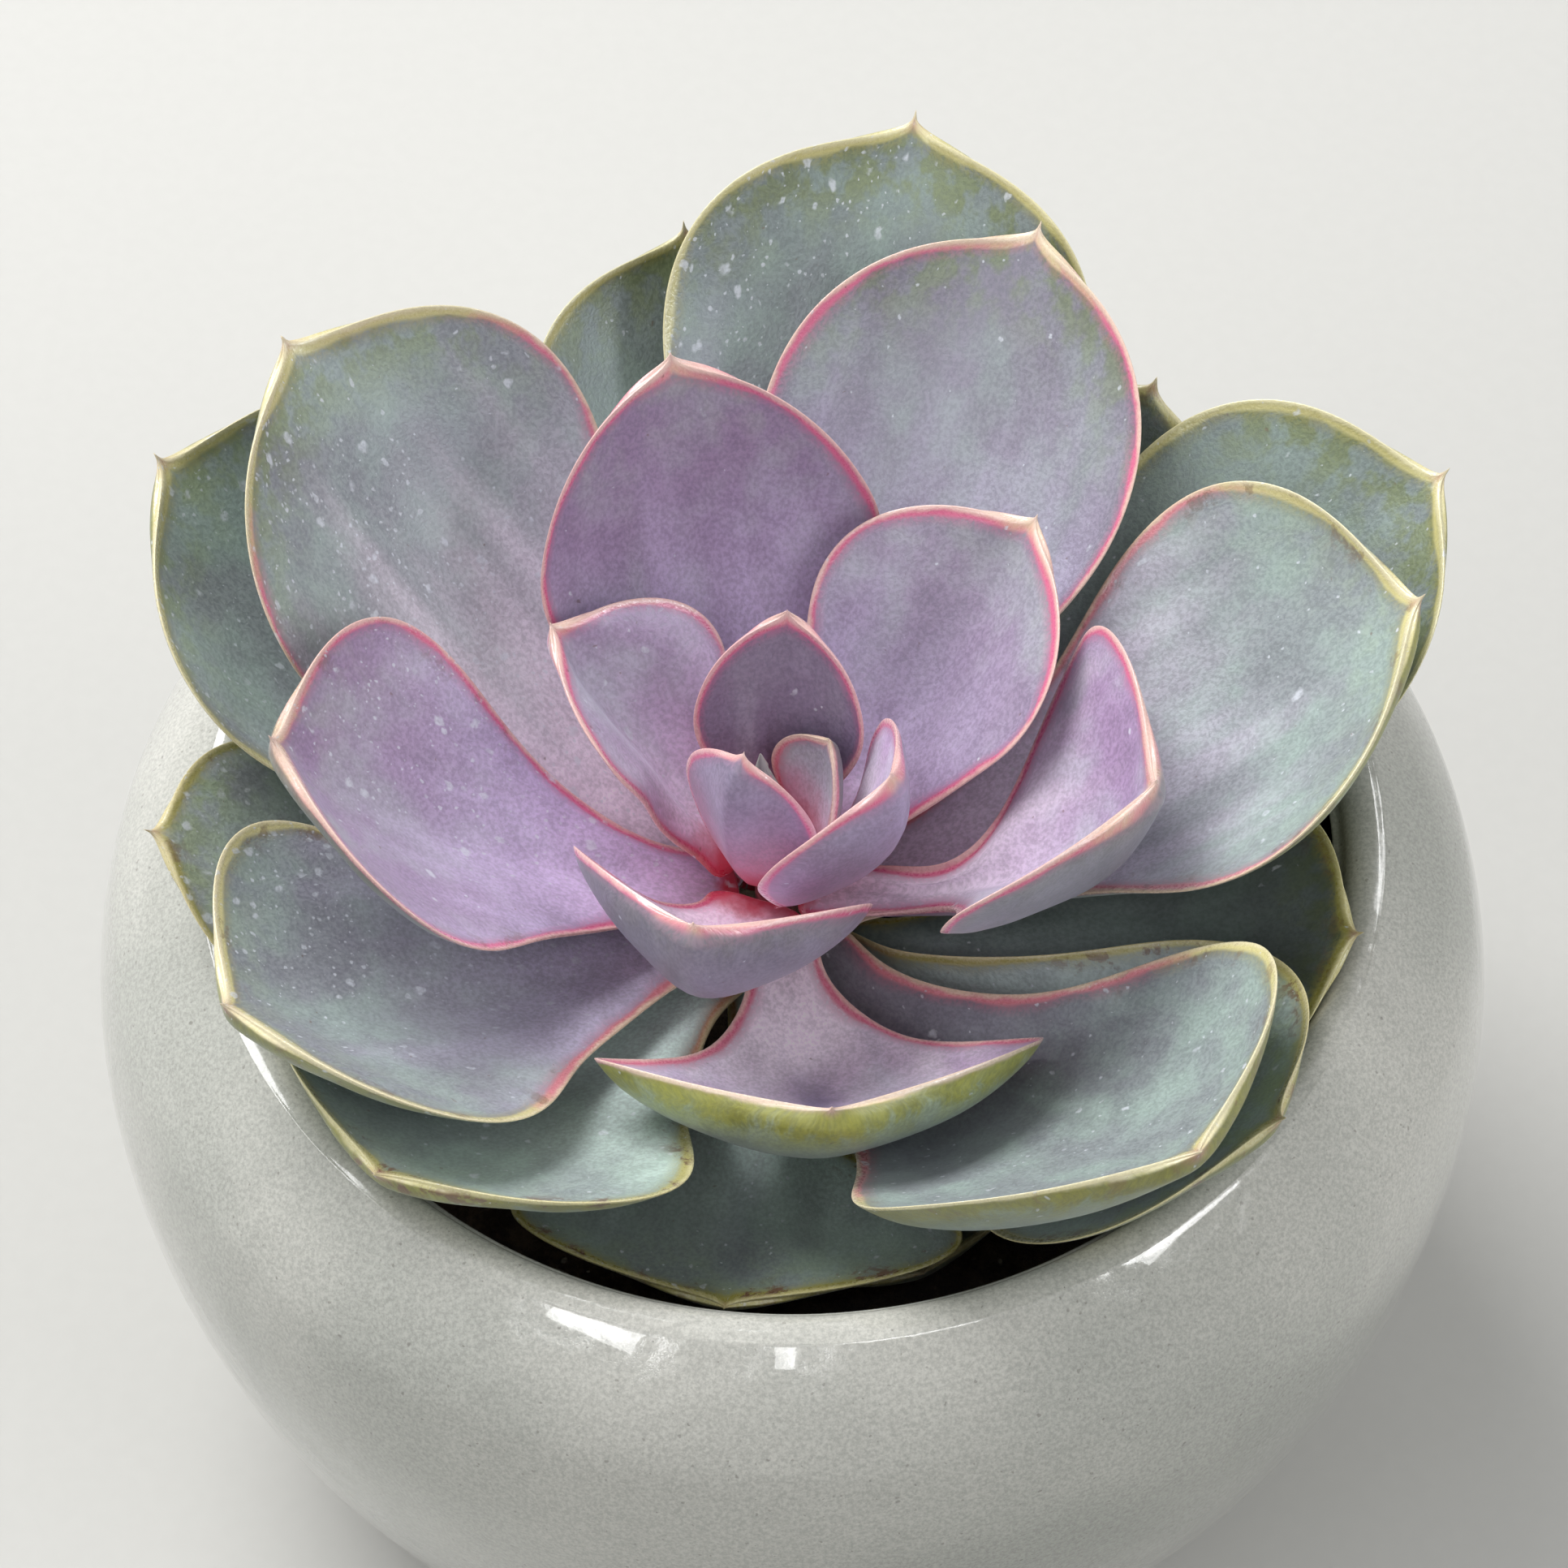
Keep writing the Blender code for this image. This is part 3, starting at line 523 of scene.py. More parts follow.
def leaf_material(name, look, settings, width, rank):
    """The leaf's own mix of the palette."""
    made, graph, shader = new_material(name)
    youth = max(0.0, 1.0 - rank / 20.0)
    green, mauve = settings.grey_green, settings.mauve
    swing = 0.08 + 0.20 * look.mauve
    lavender = look.mauve + (1.0 - look.mauve) * 0.7 * min(1.0, 3.0 * youth)
    outer_mauve = look.mauve * (1.0 - 0.9 * look.brush)
    outside = toned(look.outer, between(outer_mauve, settings.outside_grown, settings.outside_young))
    # The rose for the root of a young leaf's outer face: partly its flush, partly painted shade and red light thrown
    # back from the leaves round it.
    outside_flush_and_bounce = toned(1.1 * look.outer, between(0.5, settings.rose, settings.flush))
    # The edge colours: partly the margin's own pale colour, partly a painted highlight on the thin edge.
    edge = between(look.mauve, between(look.cream, settings.cream, settings.edge_grown), settings.edge)
    tip_margin = between(0.5 * look.mauve, between(look.cream, settings.olive, settings.cream), edge)
    # Tone, root and outer light or darken these colours: partly the leaf's own colour, partly painted light and
    # shade, most roots lit up against the shade that falls on them.
    colours = {
        "Face": toned(0.94 * look.tone, between(min(1.0, look.mauve + swing), green, mauve)),
        "Second Face": toned(1.04 * look.tone, between(max(0.0, look.mauve - swing), green, mauve)),
        "Base": toned(look.root, between(lavender, green, settings.lavender)),
        "Flush": toned(look.root, settings.flush),
        "Moss": toned(look.tone, settings.moss),
        "Outside": outside,
        # Rose near the root of a young leaf's outer face: partly its own flush, partly painted shade and red bounce
        # light.
        "Outside Base": between(youth * youth, outside, outside_flush_and_bounce),
        "Outside Moss": toned(look.outer, settings.outside_moss),
        "Outside Band": toned(look.outer, between(0.4, settings.olive, settings.outside_moss)),
        "Side Margin": between(look.pink, tip_margin, settings.pink),
        "Side Fade": between(look.pink, settings.olive, settings.rose),
        "Tip Margin": tip_margin,
        "Tip Fade": between(0.5 * look.mauve, settings.olive, settings.rose),
        "Edge": between(0.2, edge, tip_margin),
        "Glow": settings.blush,
        "Drops": settings.bloom,
        "Scar": settings.scar,
        "Spine": between(look.mauve, settings.spine, settings.edge),
        "Rib": settings.rib,
    }
    amounts = {
        "Margin": graph.attribute("margin", "Fac"),
        "Along": graph.attribute("along", "Fac"),
        "Rim Width": 0.58 + 0.006 * width,
        "Tip Reach": look.reach,
        "Glow Reach": max(0.5, 14.5 - 1.2 * rank),
        "Flush Amount": 0.55 * youth * youth,
        "Moss Amount": look.moss,
        "Brush Amount": look.brush,
        "Scar Amount": look.scar,
        "Rib Amount": look.rib,
        "Drop Amount": look.water,
        "Drop Side": look.side,
    }
    vectors = {"Blade Place": graph.attribute("blade", "Vector"), "Seed": (37.0 * rank, 11.0 * rank, 0.0)}
    inputs = {"Color": colours, "Float": amounts, "Vector": vectors}
    skin = graph.group("Echeveria leaf skin", build_leaf_skin, inputs)
    graph.feed(shader, {
        "Base Color": skin["Color"], "Roughness": skin["Roughness"],
        "Sheen Weight": 0.2, "Sheen Roughness": 0.5, "Sheen Tint": (0.80, 0.90, 1.0),
        "Specular IOR Level": 1.0, "Specular Tint": (0.82, 0.92, 1.0),
    })
    bumped(graph, shader, skin["Height"], 0.01 * MM)
    return made


# ---------------------------------------------------------------- meshes


def merged_copy(node):
    """A mesh of the node's shape with its loose triangles joined."""
    bm = bmesh.new()
    bm.from_mesh(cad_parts[node].data)
    bmesh.ops.remove_doubles(bm, verts=bm.verts[:], dist=TOUCH)
    return bm


def aligned(ring, earlier):
    """The ring turned, or turned back to front, so that each point is linked to its own in the earlier ring."""
    choices = [ring[k:] + ring[:k] for k in range(RING)]
    choices += [choice[::-1] for choice in choices]
    neighbours = [{e.other_vert(v) for e in v.link_edges} for v in earlier]

    def misfit(choice):
        linked = sum(v in near for v, near in zip(choice, neighbours))
        return -linked, sum((v.co - w.co).length for v, w in zip(choice, earlier))

    return min(choices, key=misfit)


def leaf_rings(bm, name):
    """The rings of a leaf from root to tip, each from margin to margin over its inner face and back, and the tip."""
    poles = [v for v in bm.verts if len(v.link_edges) == RING]
    tip = max(poles, key=lambda v: v.co.xy.length)
    front, seen, rings = {tip}, {tip}, []
    while True:
        links = {}
        for face in sorted({f for v in front for f in v.link_faces}, key=lambda f: f.index):
            new = [v for v in face.verts if v not in seen]
            if len(new) == 2:
                links.setdefault(new[0], []).append(new[1])
                links.setdefault(new[1], []).append(new[0])
        if len(links) != RING:
            break
        ring = [min(links, key=lambda v: v.index)]
        while len(ring) < RING:
            ring.append(next(v for v in links[ring[-1]] if v not in ring))
        rings.append(aligned(ring, rings[-1]) if rings else ring)
        front = set(ring)
        seen |= front
    if sum(map(len, rings)) + 1 != len(bm.verts):
        raise RuntimeError(f"{name} isn't a loft of rings")
    first = max(range(RING), key=lambda k: sum((r[k].co - r[(k + FAR_MARGIN) % RING].co).length for r in rings))
    rings = [ring[first:] + ring[:first] for ring in rings[::-1]]
    middle = rings[len(rings) // 2]
    anticlockwise = Vector((-tip.co.y, tip.co.x, 0.0))
    if (middle[0].co - middle[FAR_MARGIN].co).dot(anticlockwise) < 0.0:
        rings = [ring[FAR_MARGIN::-1] + ring[:FAR_MARGIN:-1] for ring in rings]
    return rings, tip


def running_length(points):
    """Length along a row of points up to each of them."""
    lengths = [0.0]
    for first, second in zip(points, points[1:]):
        lengths.append(lengths[-1] + (second - first).length)
    return lengths


def draw_flat(ring, share):
    """Draws both halves of a ring towards straight lines from the keel to the margins."""
    keel = ring[KEEL].co.copy()
    for margin, outer, inner in (
        (ring[FAR_MARGIN], ring[FAR_MARGIN + 1 : KEEL], ring[MIDRIB + 1 : FAR_MARGIN]),
        (ring[0], ring[:KEEL:-1], ring[1:MIDRIB]),
    ):
        start, span = margin.co.copy(), keel - margin.co
        places = [(v.co - start).dot(span) / span.length_squared for v in outer]
        shifts = [start + place * span - v.co for place, v in zip(places, outer)]
        knots = [0.0, *places, 1.0]
        table = np.array([(0.0, 0.0, 0.0), *shifts, (0.0, 0.0, 0.0)])
        for v in outer + inner:
            place = (v.co - start).dot(span) / span.length_squared
            v.co += share * Vector([np.interp(place, knots, table[:, axis]) for axis in range(3)])


def leaf_cage(name):
    """The leaf's loft in four-sided faces, with each point's place on the blade in millimetres.

    The blade's places are the distance across from the midrib or the keel, the distance along from the root, and the
    side: 1 on the inner face, -1 on the outer face and 0 on the margins.
    """
    bm = merged_copy(name)
    blade = bm.verts.layers.float_vector.new("blade")
    crease = bm.edges.layers.float.new("crease_edge")
    corner = bm.verts.layers.float.new("crease_vert")
    bm.verts.index_update()
    bm.faces.index_update()
    rings, tip = leaf_rings(bm, name)
    kept = {frozenset((v, tip)) for v in rings[-1]}
    for ring in rings:
        kept |= {frozenset((ring[k - 1], ring[k])) for k in range(RING)}
    for near, far in zip(rings, rings[1:]):
        kept |= {frozenset(pair) for pair in zip(near, far)}
    bmesh.ops.dissolve_edges(bm, edges=[e for e in bm.edges if frozenset(e.verts) not in kept], use_verts=False)
    fold = FOLDS.get(name, 0.0)
    if fold:
        for ring in rings[:-1]:
            draw_flat(ring, fold)
    for ring, share in zip(rings[-4:], NIPPED.get(name, ())):
        middle = ring[MIDRIB].co.copy()
        for v in ring:
            v.co = middle.lerp(v.co, share)
    heights = running_length([ring[MIDRIB].co for ring in rings] + [tip.co])
    for ring, height in zip(rings, heights):
        inner = running_length([v.co for v in ring[: FAR_MARGIN + 1]])
        outer = running_length([v.co for v in ring[FAR_MARGIN:]] + [ring[0].co])
        for k, v in enumerate(ring):
            if k <= FAR_MARGIN:
                across, side = inner[MIDRIB] - inner[k], 0.0 if k in (0, FAR_MARGIN) else 1.0
            else:
                across, side = outer[k - FAR_MARGIN] - outer[KEEL - FAR_MARGIN], -1.0
            v[blade] = Vector((across, height, side * MM)) / MM
    tip[blade] = Vector((0.0, heights[-1] / MM, 0.0))
    tip[corner] = 1.0
    edges = {frozenset(e.verts): e for e in bm.edges}
    lines = [([ring[k] for ring in rings] + [tip], 1.0) for k in (0, FAR_MARGIN)]
    if fold:
        lines.append(([ring[KEEL] for ring in rings], 0.8 * fold))
    for line, sharpness in lines:
        for pair in zip(line, line[1:]):
            edges[frozenset(pair)][crease] = sharpness
    return bm


def evaluated_mesh(obj):
    """The object's mesh with its modifiers applied."""
    graph = bpy.context.evaluated_depsgraph_get()
    return bpy.data.meshes.new_from_object(obj.evaluated_get(graph), preserve_all_data_layers=True, depsgraph=graph)


def coordinates(mesh, attribute="position"):
    """The places of a mesh's points, or a vector attribute of them, as an array."""
    values = np.empty(len(mesh.vertices) * 3)
    if attribute == "normal":
        mesh.vertex_normals.foreach_get("vector", values)
    else:
        mesh.attributes[attribute].data.foreach_get("vector", values)
    return values.reshape(-1, 3)


def move_points(mesh, places):
    """Moves the mesh's points to new places, never out of the part's own box."""
    mesh.vertices.foreach_set("co", np.clip(places, *CAD_BOX).ravel())
    mesh.update()


def new_object(name, bm):
    """An object of the mesh, in the scene."""
    for face in bm.faces:
        face.smooth = True
    mesh = bpy.data.meshes.new(name)
    bm.to_mesh(mesh)
    bm.free()
    made = bpy.data.objects.new(name, mesh)
    bpy.context.scene.collection.objects.link(made)
    return made


def add_subdivision(obj, levels):
    """A live Subdivision Surface that renders as it shows."""
    modifier = obj.modifiers.new("Smooth", "SUBSURF")
    modifier.levels = levels
    modifier.render_levels = levels
    return modifier


def rounded_through(obj, levels, tries=3):
    """Subdivides the object so that the smooth surface still passes through the points of its cage."""
    modifier = add_subdivision(obj, levels)
    wanted = coordinates(obj.data)
    cage = wanted.copy()
    for _ in range(tries):
        smooth = evaluated_mesh(obj)
        cage += 0.85 * (wanted - coordinates(smooth)[: len(wanted)])
        bpy.data.meshes.remove(smooth)
        obj.data.vertices.foreach_set("co", cage.ravel())
        obj.data.update()
    smooth = evaluated_mesh(obj)
    old = obj.data
    obj.modifiers.remove(modifier)
    obj.data = smooth
    bpy.data.meshes.remove(old)
    return obj


def margin_distance(mesh, side):
    """Each point's distance from the leaf's margin line."""
    edge_ends = np.empty(len(mesh.edges) * 2, np.int64)
    mesh.edges.foreach_get("vertices", edge_ends)
    ends = edge_ends.reshape(-1, 2)
    on_line = ends[(np.abs(side[ends]) < 1e-4).all(axis=1)]
    places = coordinates(mesh)
    samples = [places[on_line[:, 0]] * (1.0 - s) + places[on_line[:, 1]] * s for s in np.linspace(0.0, 0.875, 8)]
    points = np.concatenate(samples + [places[on_line[:, 1]]])
    tree = KDTree(len(points))
    for index, point in enumerate(points):
        tree.insert(point, index)
    tree.balance()
    return np.array([tree.find(place)[2] for place in places])


def smoothstep(values, low, high):
    """Smooth step of an array from 0 at one place to 1 at the other."""
    share = np.clip((values - low) / (high - low), 0.0, 1.0)
    return share * share * (3.0 - 2.0 * share)


def window(values, low, full, fading, gone):
    """Smooth steps of an array up to 1 between low and full, and back to 0 between fading and gone."""
    return smoothstep(values, low, full) * (1.0 - smoothstep(values, fading, gone))


def unevenness(places, cell, seed):
    """Smooth noise from -1 to 1 at each place."""
    shift = Vector((seed * 7.3, seed * 3.1, seed * 5.7))
    return np.array([noise.noise(Vector(place) / cell + shift) for place in places])


def room_around(node, places):
    """How far each place on a node is from the nearest of the other nodes, up to the reach."""
    corners, faces = [], []
    for name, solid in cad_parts.items():
        if name != node:
            first = len(corners)
            corners += [tuple(v.co) for v in solid.data.vertices]
            faces += [[first + corner for corner in face.vertices] for face in solid.data.polygons]
    others = BVHTree.FromPolygons(corners, faces)
    nearest = (others.find_nearest(Vector(place), ROOM_REACH)[3] for place in places)
    return np.array([ROOM_REACH if room is None else room for room in nearest])


def shape_leaf(obj, node, settings, rank):
    """Raises the margin's bead and the keel, sinks the midrib, draws out the tip, and makes the faces uneven.

    Returns the leaf's width in millimetres.
    """
    mesh = obj.data
    places = coordinates(mesh)
    across, up, side = coordinates(mesh, "blade").T
    distance = margin_distance(mesh, side)
    length, width = up.max(), np.abs(across).max() * 2.0
    along = up / length
    size = min(1.0, 0.35 + width / 60.0)

    def hill(share):
        return np.clip(1.0 - np.abs(across) / (share * width), 0.0, 1.0)

    bead = settings.bead * (1.0 - smoothstep(distance, 0.35 * settings.bead_width, settings.bead_width))
    bead *= smoothstep(along, 0.02, 0.15)
    wave = settings.undulation * (unevenness(places, 0.012, rank) + 0.4 * unevenness(places, 0.005, rank + 40))
    wave *= smoothstep(distance, 0.5 * MM, 4.0 * MM)
    groove = GROOVE_DEPTH * np.exp(-((across / (0.055 * width)) ** 2)) * window(along, 0.05, 0.3, 0.6, 0.97)
    valley = VALLEY_DEPTH * FOLDS.get(node, 0.0) * hill(0.32) * window(along, 0.08, 0.3, 0.80, 0.97)
    keel = settings.keel * hill(0.22) * window(along, 0.35, 0.8, 0.94, 1.0)
    middle = np.select([side > 0.5, side < -0.5], [-groove - valley, keel], 0.0)
    lift = size * (bead + wave + middle)
    lift = np.minimum(lift, ROOM_SHARE * (room_around(node, places) - settings.gap))
    places += coordinates(mesh, "normal") * lift[:, None]

    tip = places[np.argmax(up)]
    neck = places[(np.abs(along - 0.94) < 0.01) & (np.abs(across) < 0.08 * width)].mean(axis=0)
    axis = (tip - neck) / np.linalg.norm(tip - neck)
    off_axis = (places - neck) - ((places - neck) @ axis)[:, None] * axis
    spine = 1.5 + 0.022 * length
    drawn = smoothstep(length - up, spine, spine / 3.0)[:, None]
    places += SPINE_RISE * drawn * axis - SPINE_SLIMMING * drawn * off_axis

    for name, values in (("margin", distance / MM), ("along", along)):
        mesh.attributes.new(name, "FLOAT", "POINT").data.foreach_set("value", values)
    for name in ("crease_edge", "crease_vert"):
        if name in mesh.attributes:
            mesh.attributes.remove(mesh.attributes[name])
    move_points(mesh, places)
    return width


def add_leaf(rank, look, settings):
    """One leaf, dressed and riding on the part."""
    node = f"leaf_{rank:02d}"
    obj = rounded_through(new_object(node + "_fleshy", leaf_cage(node)), 2)
    width = shape_leaf(obj, node, settings, rank)
    add_subdivision(obj, 1)
    obj.data.materials.append(leaf_material(f"Leaf {rank:02d} skin", look, settings, width, rank))
    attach(obj, "root")
    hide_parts(node)


def turned_profile(node):
    """The profile of a turned node in the XZ plane, from the axis above round its outside to the axis below."""
    bm = merged_copy(node)
    on_plane = {v for v in bm.verts if abs(v.co.y) < TOUCH and v.co.x > -TOUCH}
    links = {v: [e.other_vert(v) for e in v.link_edges if e.other_vert(v) in on_plane] for v in on_plane}
    order = [max((v for v in on_plane if len(links[v]) == 1), key=lambda v: v.co.z)]
    while True:
        onward = [v for v in links[order[-1]] if v not in order]
        if not onward:
            break
        order.append(min(onward, key=lambda v: (v.co - order[-1].co).length))
    profile = [(v.co.x, v.co.z) for v in order]
    bm.free()
    for place, end in ((0, profile[0]), (len(profile) + 1, profile[-1])):
        if end[0] > TOUCH:
            profile.insert(place, (0.0, end[1]))
    return profile


def spun(profile, steps):
    """A closed turned mesh of a profile that starts and ends on the axis."""
    bm = bmesh.new()
    line = [bm.verts.new((x, 0.0, z)) for x, z in profile]
    edges = [bm.edges.new(pair) for pair in zip(line, line[1:])]
    bmesh.ops.spin(bm, geom=line + edges, cent=(0, 0, 0), axis=(0, 0, 1), angle=2.0 * math.pi, steps=steps,
                   use_merge=True, use_duplicate=False)
    bmesh.ops.remove_doubles(bm, verts=bm.verts[:], dist=TOUCH)
    bmesh.ops.recalc_face_normals(bm, faces=bm.faces[:])
    return bm


def pot_material(settings):
    """Glossy stoneware glaze, bare under the foot."""
    made, graph, shader = new_material("Pot glaze")
    place = millimetres(graph)
    clouds = graph.noise(place, 0.03, 3.0, 0.45)
    grain = graph.noise(place, 2.1, 3.0, 0.75)
    glaze = graph.mix(graph.ramp(clouds, 0.35, 0.7), settings.glaze, settings.cloud)
    glaze = graph.lit(glaze, graph.ramp(grain, 0.30, 0.70, 0.83, 1.17))
    for spacing, size, amount, share in ((1.0, 0.22, 0.6, 0.40), (9.0, 0.045, 0.3, 0.85)):
        glaze = graph.mix(graph.times(graph.specks(place, spacing, size, amount), share), glaze, settings.speck)
    bare = graph.ramp(graph.axes(place)[2], 2.2, 0.8)
    graph.feed(shader, {
        "Base Color": graph.mix(bare, glaze, settings.body),
        "Roughness": graph.plus(graph.ramp(clouds, 0.3, 0.7, 0.06, 0.10), graph.times(bare, 0.6)),
        "Coat Weight": 0.5, "Coat Roughness": 0.02,
    })
    ripple = graph.plus(graph.noise(place, 0.11), graph.times(grain, 0.04))
    bumped(graph, shader, ripple, 0.4 * MM)
    return made


def add_pot(settings):
    """The glazed pot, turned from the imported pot's own profile."""
    obj = rounded_through(new_object("pot_glazed", spun(turned_profile("pot"), settings.steps)), 2)
    move_points(obj.data, coordinates(obj.data))
    obj.data.materials.append(pot_material(settings))
    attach(obj, "root")
    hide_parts("pot")


def earth_material(settings):
    """Dark crumbly potting soil with pale grit."""
    made, graph, shader = new_material("Potting soil")
    place = millimetres(graph)
    damp = graph.noise(place, 0.25, 4.0, 0.65)
    earth = graph.mix(graph.ramp(damp, 0.4, 0.65), settings.earth, settings.earth_dry)
    earth = graph.mix(graph.specks(place, 3.0, 0.28, 0.3), earth, settings.grit)
    graph.feed(shader, {"Base Color": earth, "Roughness": 0.95})
    bumped(graph, shader, graph.noise(place, 1.1, 5.0, 0.7), 1.2 * MM)
    return made


def add_soil(material):
    """The soil with its uneven top."""
    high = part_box("soil")[1]
    bm = spun(turned_profile("soil"), SOIL_STEPS)
    upper = [e for e in bm.edges if min(v.co.z for v in e.verts) > high.z - 6.0 * MM]
    bmesh.ops.subdivide_edges(bm, edges=upper, cuts=3, use_grid_fill=True)
    obj = new_object("soil_crumbly", bm)
    places = coordinates(obj.data)
    rough = np.clip(unevenness(places, 0.007, 3) + 0.5 * unevenness(places, 0.0025, 5), -1.0, 1.0)
    radius = np.hypot(places[:, 0], places[:, 1])
    top = (places[:, 2] > high.z - 3.2 * MM) * window(radius, 7.0 * MM, 10.0 * MM, high.x - 2.0 * MM, high.x)
    places[:, 2] += (rough * 0.9 - 0.4) * MM * top
    move_points(obj.data, places)
    obj.data.materials.append(material)
    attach(obj, "root")
    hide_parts("soil")


def add_crumbs(material, settings):
    """Crumbs strewn on the soil, which is lower towards the pot."""
    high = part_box("soil")[1]
    draw = random.Random(CRUMB_SEED)
    bm = bmesh.new()
    for _ in range(settings.crumbs):
        radius = settings.crumb_size * (0.35 + 0.65 * draw.random() ** 2)
        reach = math.sqrt(draw.uniform(0.03, 0.97)) * (high.x - 2.5 * MM)
        turn = draw.uniform(0.0, 2.0 * math.pi)
        crumb = bmesh.ops.create_icosphere(bm, subdivisions=1, radius=radius)["verts"]
        for v in crumb:
            v.co *= 1.0 + draw.uniform(-0.25, 0.25)
        spin = Euler([draw.uniform(0.0, math.pi) for _ in range(3)]).to_matrix()
        bmesh.ops.scale(bm, verts=crumb, vec=(1.0, draw.uniform(0.6, 1.0), 0.7))
        bmesh.ops.rotate(bm, verts=crumb, cent=(0, 0, 0), matrix=spin)
        rise = high.z - (0.2 + 2.2 * (reach / high.x) ** 2) * MM + 0.3 * radius
        bmesh.ops.translate(bm, verts=crumb, vec=(reach * math.cos(turn), reach * math.sin(turn), rise))
    obj = new_object("soil_crumbs", bm)
    obj.data.materials.append(material)
    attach(obj, "root")


def stem_material(settings):
    """Dry bark ringed with scars where old leaves fell, living and red at its top."""
    made, graph, shader = new_material("Stem bark")
    place = millimetres(graph)
    rings = graph.noise(graph.scaled(place, 0.25, 0.25, 1.0), 0.7, 3.0, 0.6)
    grain = graph.noise(place, 1.5, 3.0, 0.7)
    bark = graph.mix(graph.ramp(rings, 0.5, 0.62), settings.bark, settings.bark_scar)
    bark = graph.lit(bark, graph.ramp(grain, 0.3, 0.7, 0.8, 1.15))
    bark = graph.mix(graph.ramp(graph.axes(place)[2], 76.0, 86.0), bark, settings.heart)
    graph.feed(shader, {"Base Color": bark, "Roughness": 0.85})
    bumped(graph, shader, graph.plus(rings, grain), 0.5 * MM)
    return made


def add_stem(settings):
    """The stem, ringed with old leaf scars."""
    bm = merged_copy("stem")
    bmesh.ops.dissolve_limit(bm, angle_limit=math.radians(2.0), verts=bm.verts[:], edges=bm.edges[:])
    bmesh.ops.join_triangles(bm, faces=bm.faces[:], angle_face_threshold=0.5, angle_shape_threshold=3.0)
    low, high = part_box("stem")
    sides = [e for e in bm.edges if abs(e.verts[0].co.z - e.verts[1].co.z) > 0.5 * (high.z - low.z)]
    bmesh.ops.subdivide_edges(bm, edges=sides, cuts=40, use_grid_fill=True)
    obj = new_object("stem_ringed", bm)
    places = coordinates(obj.data)
    share = (places[:, 2] - low.z) / (high.z - low.z)
    centre = np.outer(share, [(low.x + high.x) * 0.5, (low.y + high.y) * 0.5])
    wobble = np.sin(places[:, 2] / STEM_RING * 2.0 * math.pi) + unevenness(places, 0.004, 9)
    wobble *= window(share, 0.0, 0.05, 0.95, 1.0)
    places[:, :2] += (places[:, :2] - centre) * (STEM_RELIEF * (wobble - 1.0))[:, None]
    move_points(obj.data, places)
    add_subdivision(obj, 1)
    obj.data.materials.append(stem_material(settings))
    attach(obj, "root")
    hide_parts("stem")


def bud_material(settings, leaf_settings):
    """Pale skin of the closed bud, pink where its small leaves part and red at its root."""
    made, graph, shader = new_material("Bud skin")
    place = millimetres(graph)
    seams = graph.noise(graph.scaled(place, 1.0, 1.0, 0.35), 0.9)
    skin = graph.mix(graph.ramp(seams, 0.52, 0.62), settings.bud, between(0.5, leaf_settings.pink, settings.bud))
    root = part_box("bud")[0].z / MM
    skin = graph.mix(graph.ramp(graph.axes(place)[2], root + 10.0, root + 5.0), skin, leaf_settings.blush)
    graph.feed(shader, {"Base Color": skin, "Roughness": 0.55})
    bumped(graph, shader, seams, 0.3 * MM)
    return made


def add_bud(settings, leaf_settings):
    """The closed bud: small leaves wrapped round each other."""
    bm = merged_copy("bud")
    bmesh.ops.join_triangles(bm, faces=bm.faces[:], angle_face_threshold=1.2, angle_shape_threshold=3.0)
    obj = rounded_through(new_object("bud_wrapped", bm), 3)
    places = coordinates(obj.data)
    low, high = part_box("bud")
    share = (places[:, 2] - low.z) / (high.z - low.z)
    turn = np.arctan2(places[:, 1] - (low.y + high.y) * 0.5, places[:, 0] - (low.x + high.x) * 0.5)
    wrap = (turn * BUD_LEAVES / (2.0 * math.pi) + share * 1.6) % 1.0
    lift = BUD_RELIEF * (smoothstep(wrap, 0.0, 0.12) - 0.9 * wrap - 0.3)
    lift *= window(share, 0.1, 0.3, 0.8, 1.0)
    places += coordinates(obj.data, "normal") * lift[:, None]
    move_points(obj.data, places)
    obj.data.materials.append(bud_material(settings, leaf_settings))
    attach(obj, "root")
    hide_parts("bud")


# ---------------------------------------------------------------- studio


def add_lamp(name, place, power, width, depth):
    """A soft lamp aimed at the plant, its width level and its depth along the slope."""
    lamp = bpy.data.lights.new(name, "AREA")
    lamp.energy = power
    lamp.shape = "RECTANGLE"
    lamp.size = width
    lamp.size_y = depth
    made = bpy.data.objects.new(name, lamp)
    bpy.context.scene.collection.objects.link(made)
    made.location = place
    made.rotation_euler = (LAMP_AIM - Vector(place)).to_track_quat("-Z", "Y").to_euler()
    return made


def seen_rays(graph):
    """1 for the rays that show a surface to the eye, directly or in a gloss or glass."""
    ray = graph.add("ShaderNodeLightPath", {}).outputs
    seen = graph.math("MAXIMUM", ray["Is Camera Ray"], ray["Is Glossy Ray"])
    return graph.math("MAXIMUM", seen, ray["Is Transmission Ray"])


def floor_material(settings):
    """Plain floor with a faint grain, pale to the eye and in reflections, that fades to the backdrop far away."""
    made, graph, shader = new_material("Studio floor")
    place = millimetres(graph)
    colour = graph.lit(settings.floor, graph.ramp(graph.noise(place, 0.4, 3.0), 0.3, 0.7, 0.993, 1.007))
    seen = seen_rays(graph)
    reach = graph.add("ShaderNodeVectorMath", {0: place}, operation="LENGTH").outputs["Value"]
    far = graph.times(graph.ramp(reach, *FLOOR_FADE), seen)
    black = (0.0, 0.0, 0.0)
    graph.feed(shader, {
        "Base Color": graph.mix(far, graph.mix(seen, settings.floor_bounce, colour), black),
        "Emission Color": graph.mix(far, black, settings.backdrop), "Emission Strength": 1.0,
        "Specular IOR Level": 0.0,
    })
    return made


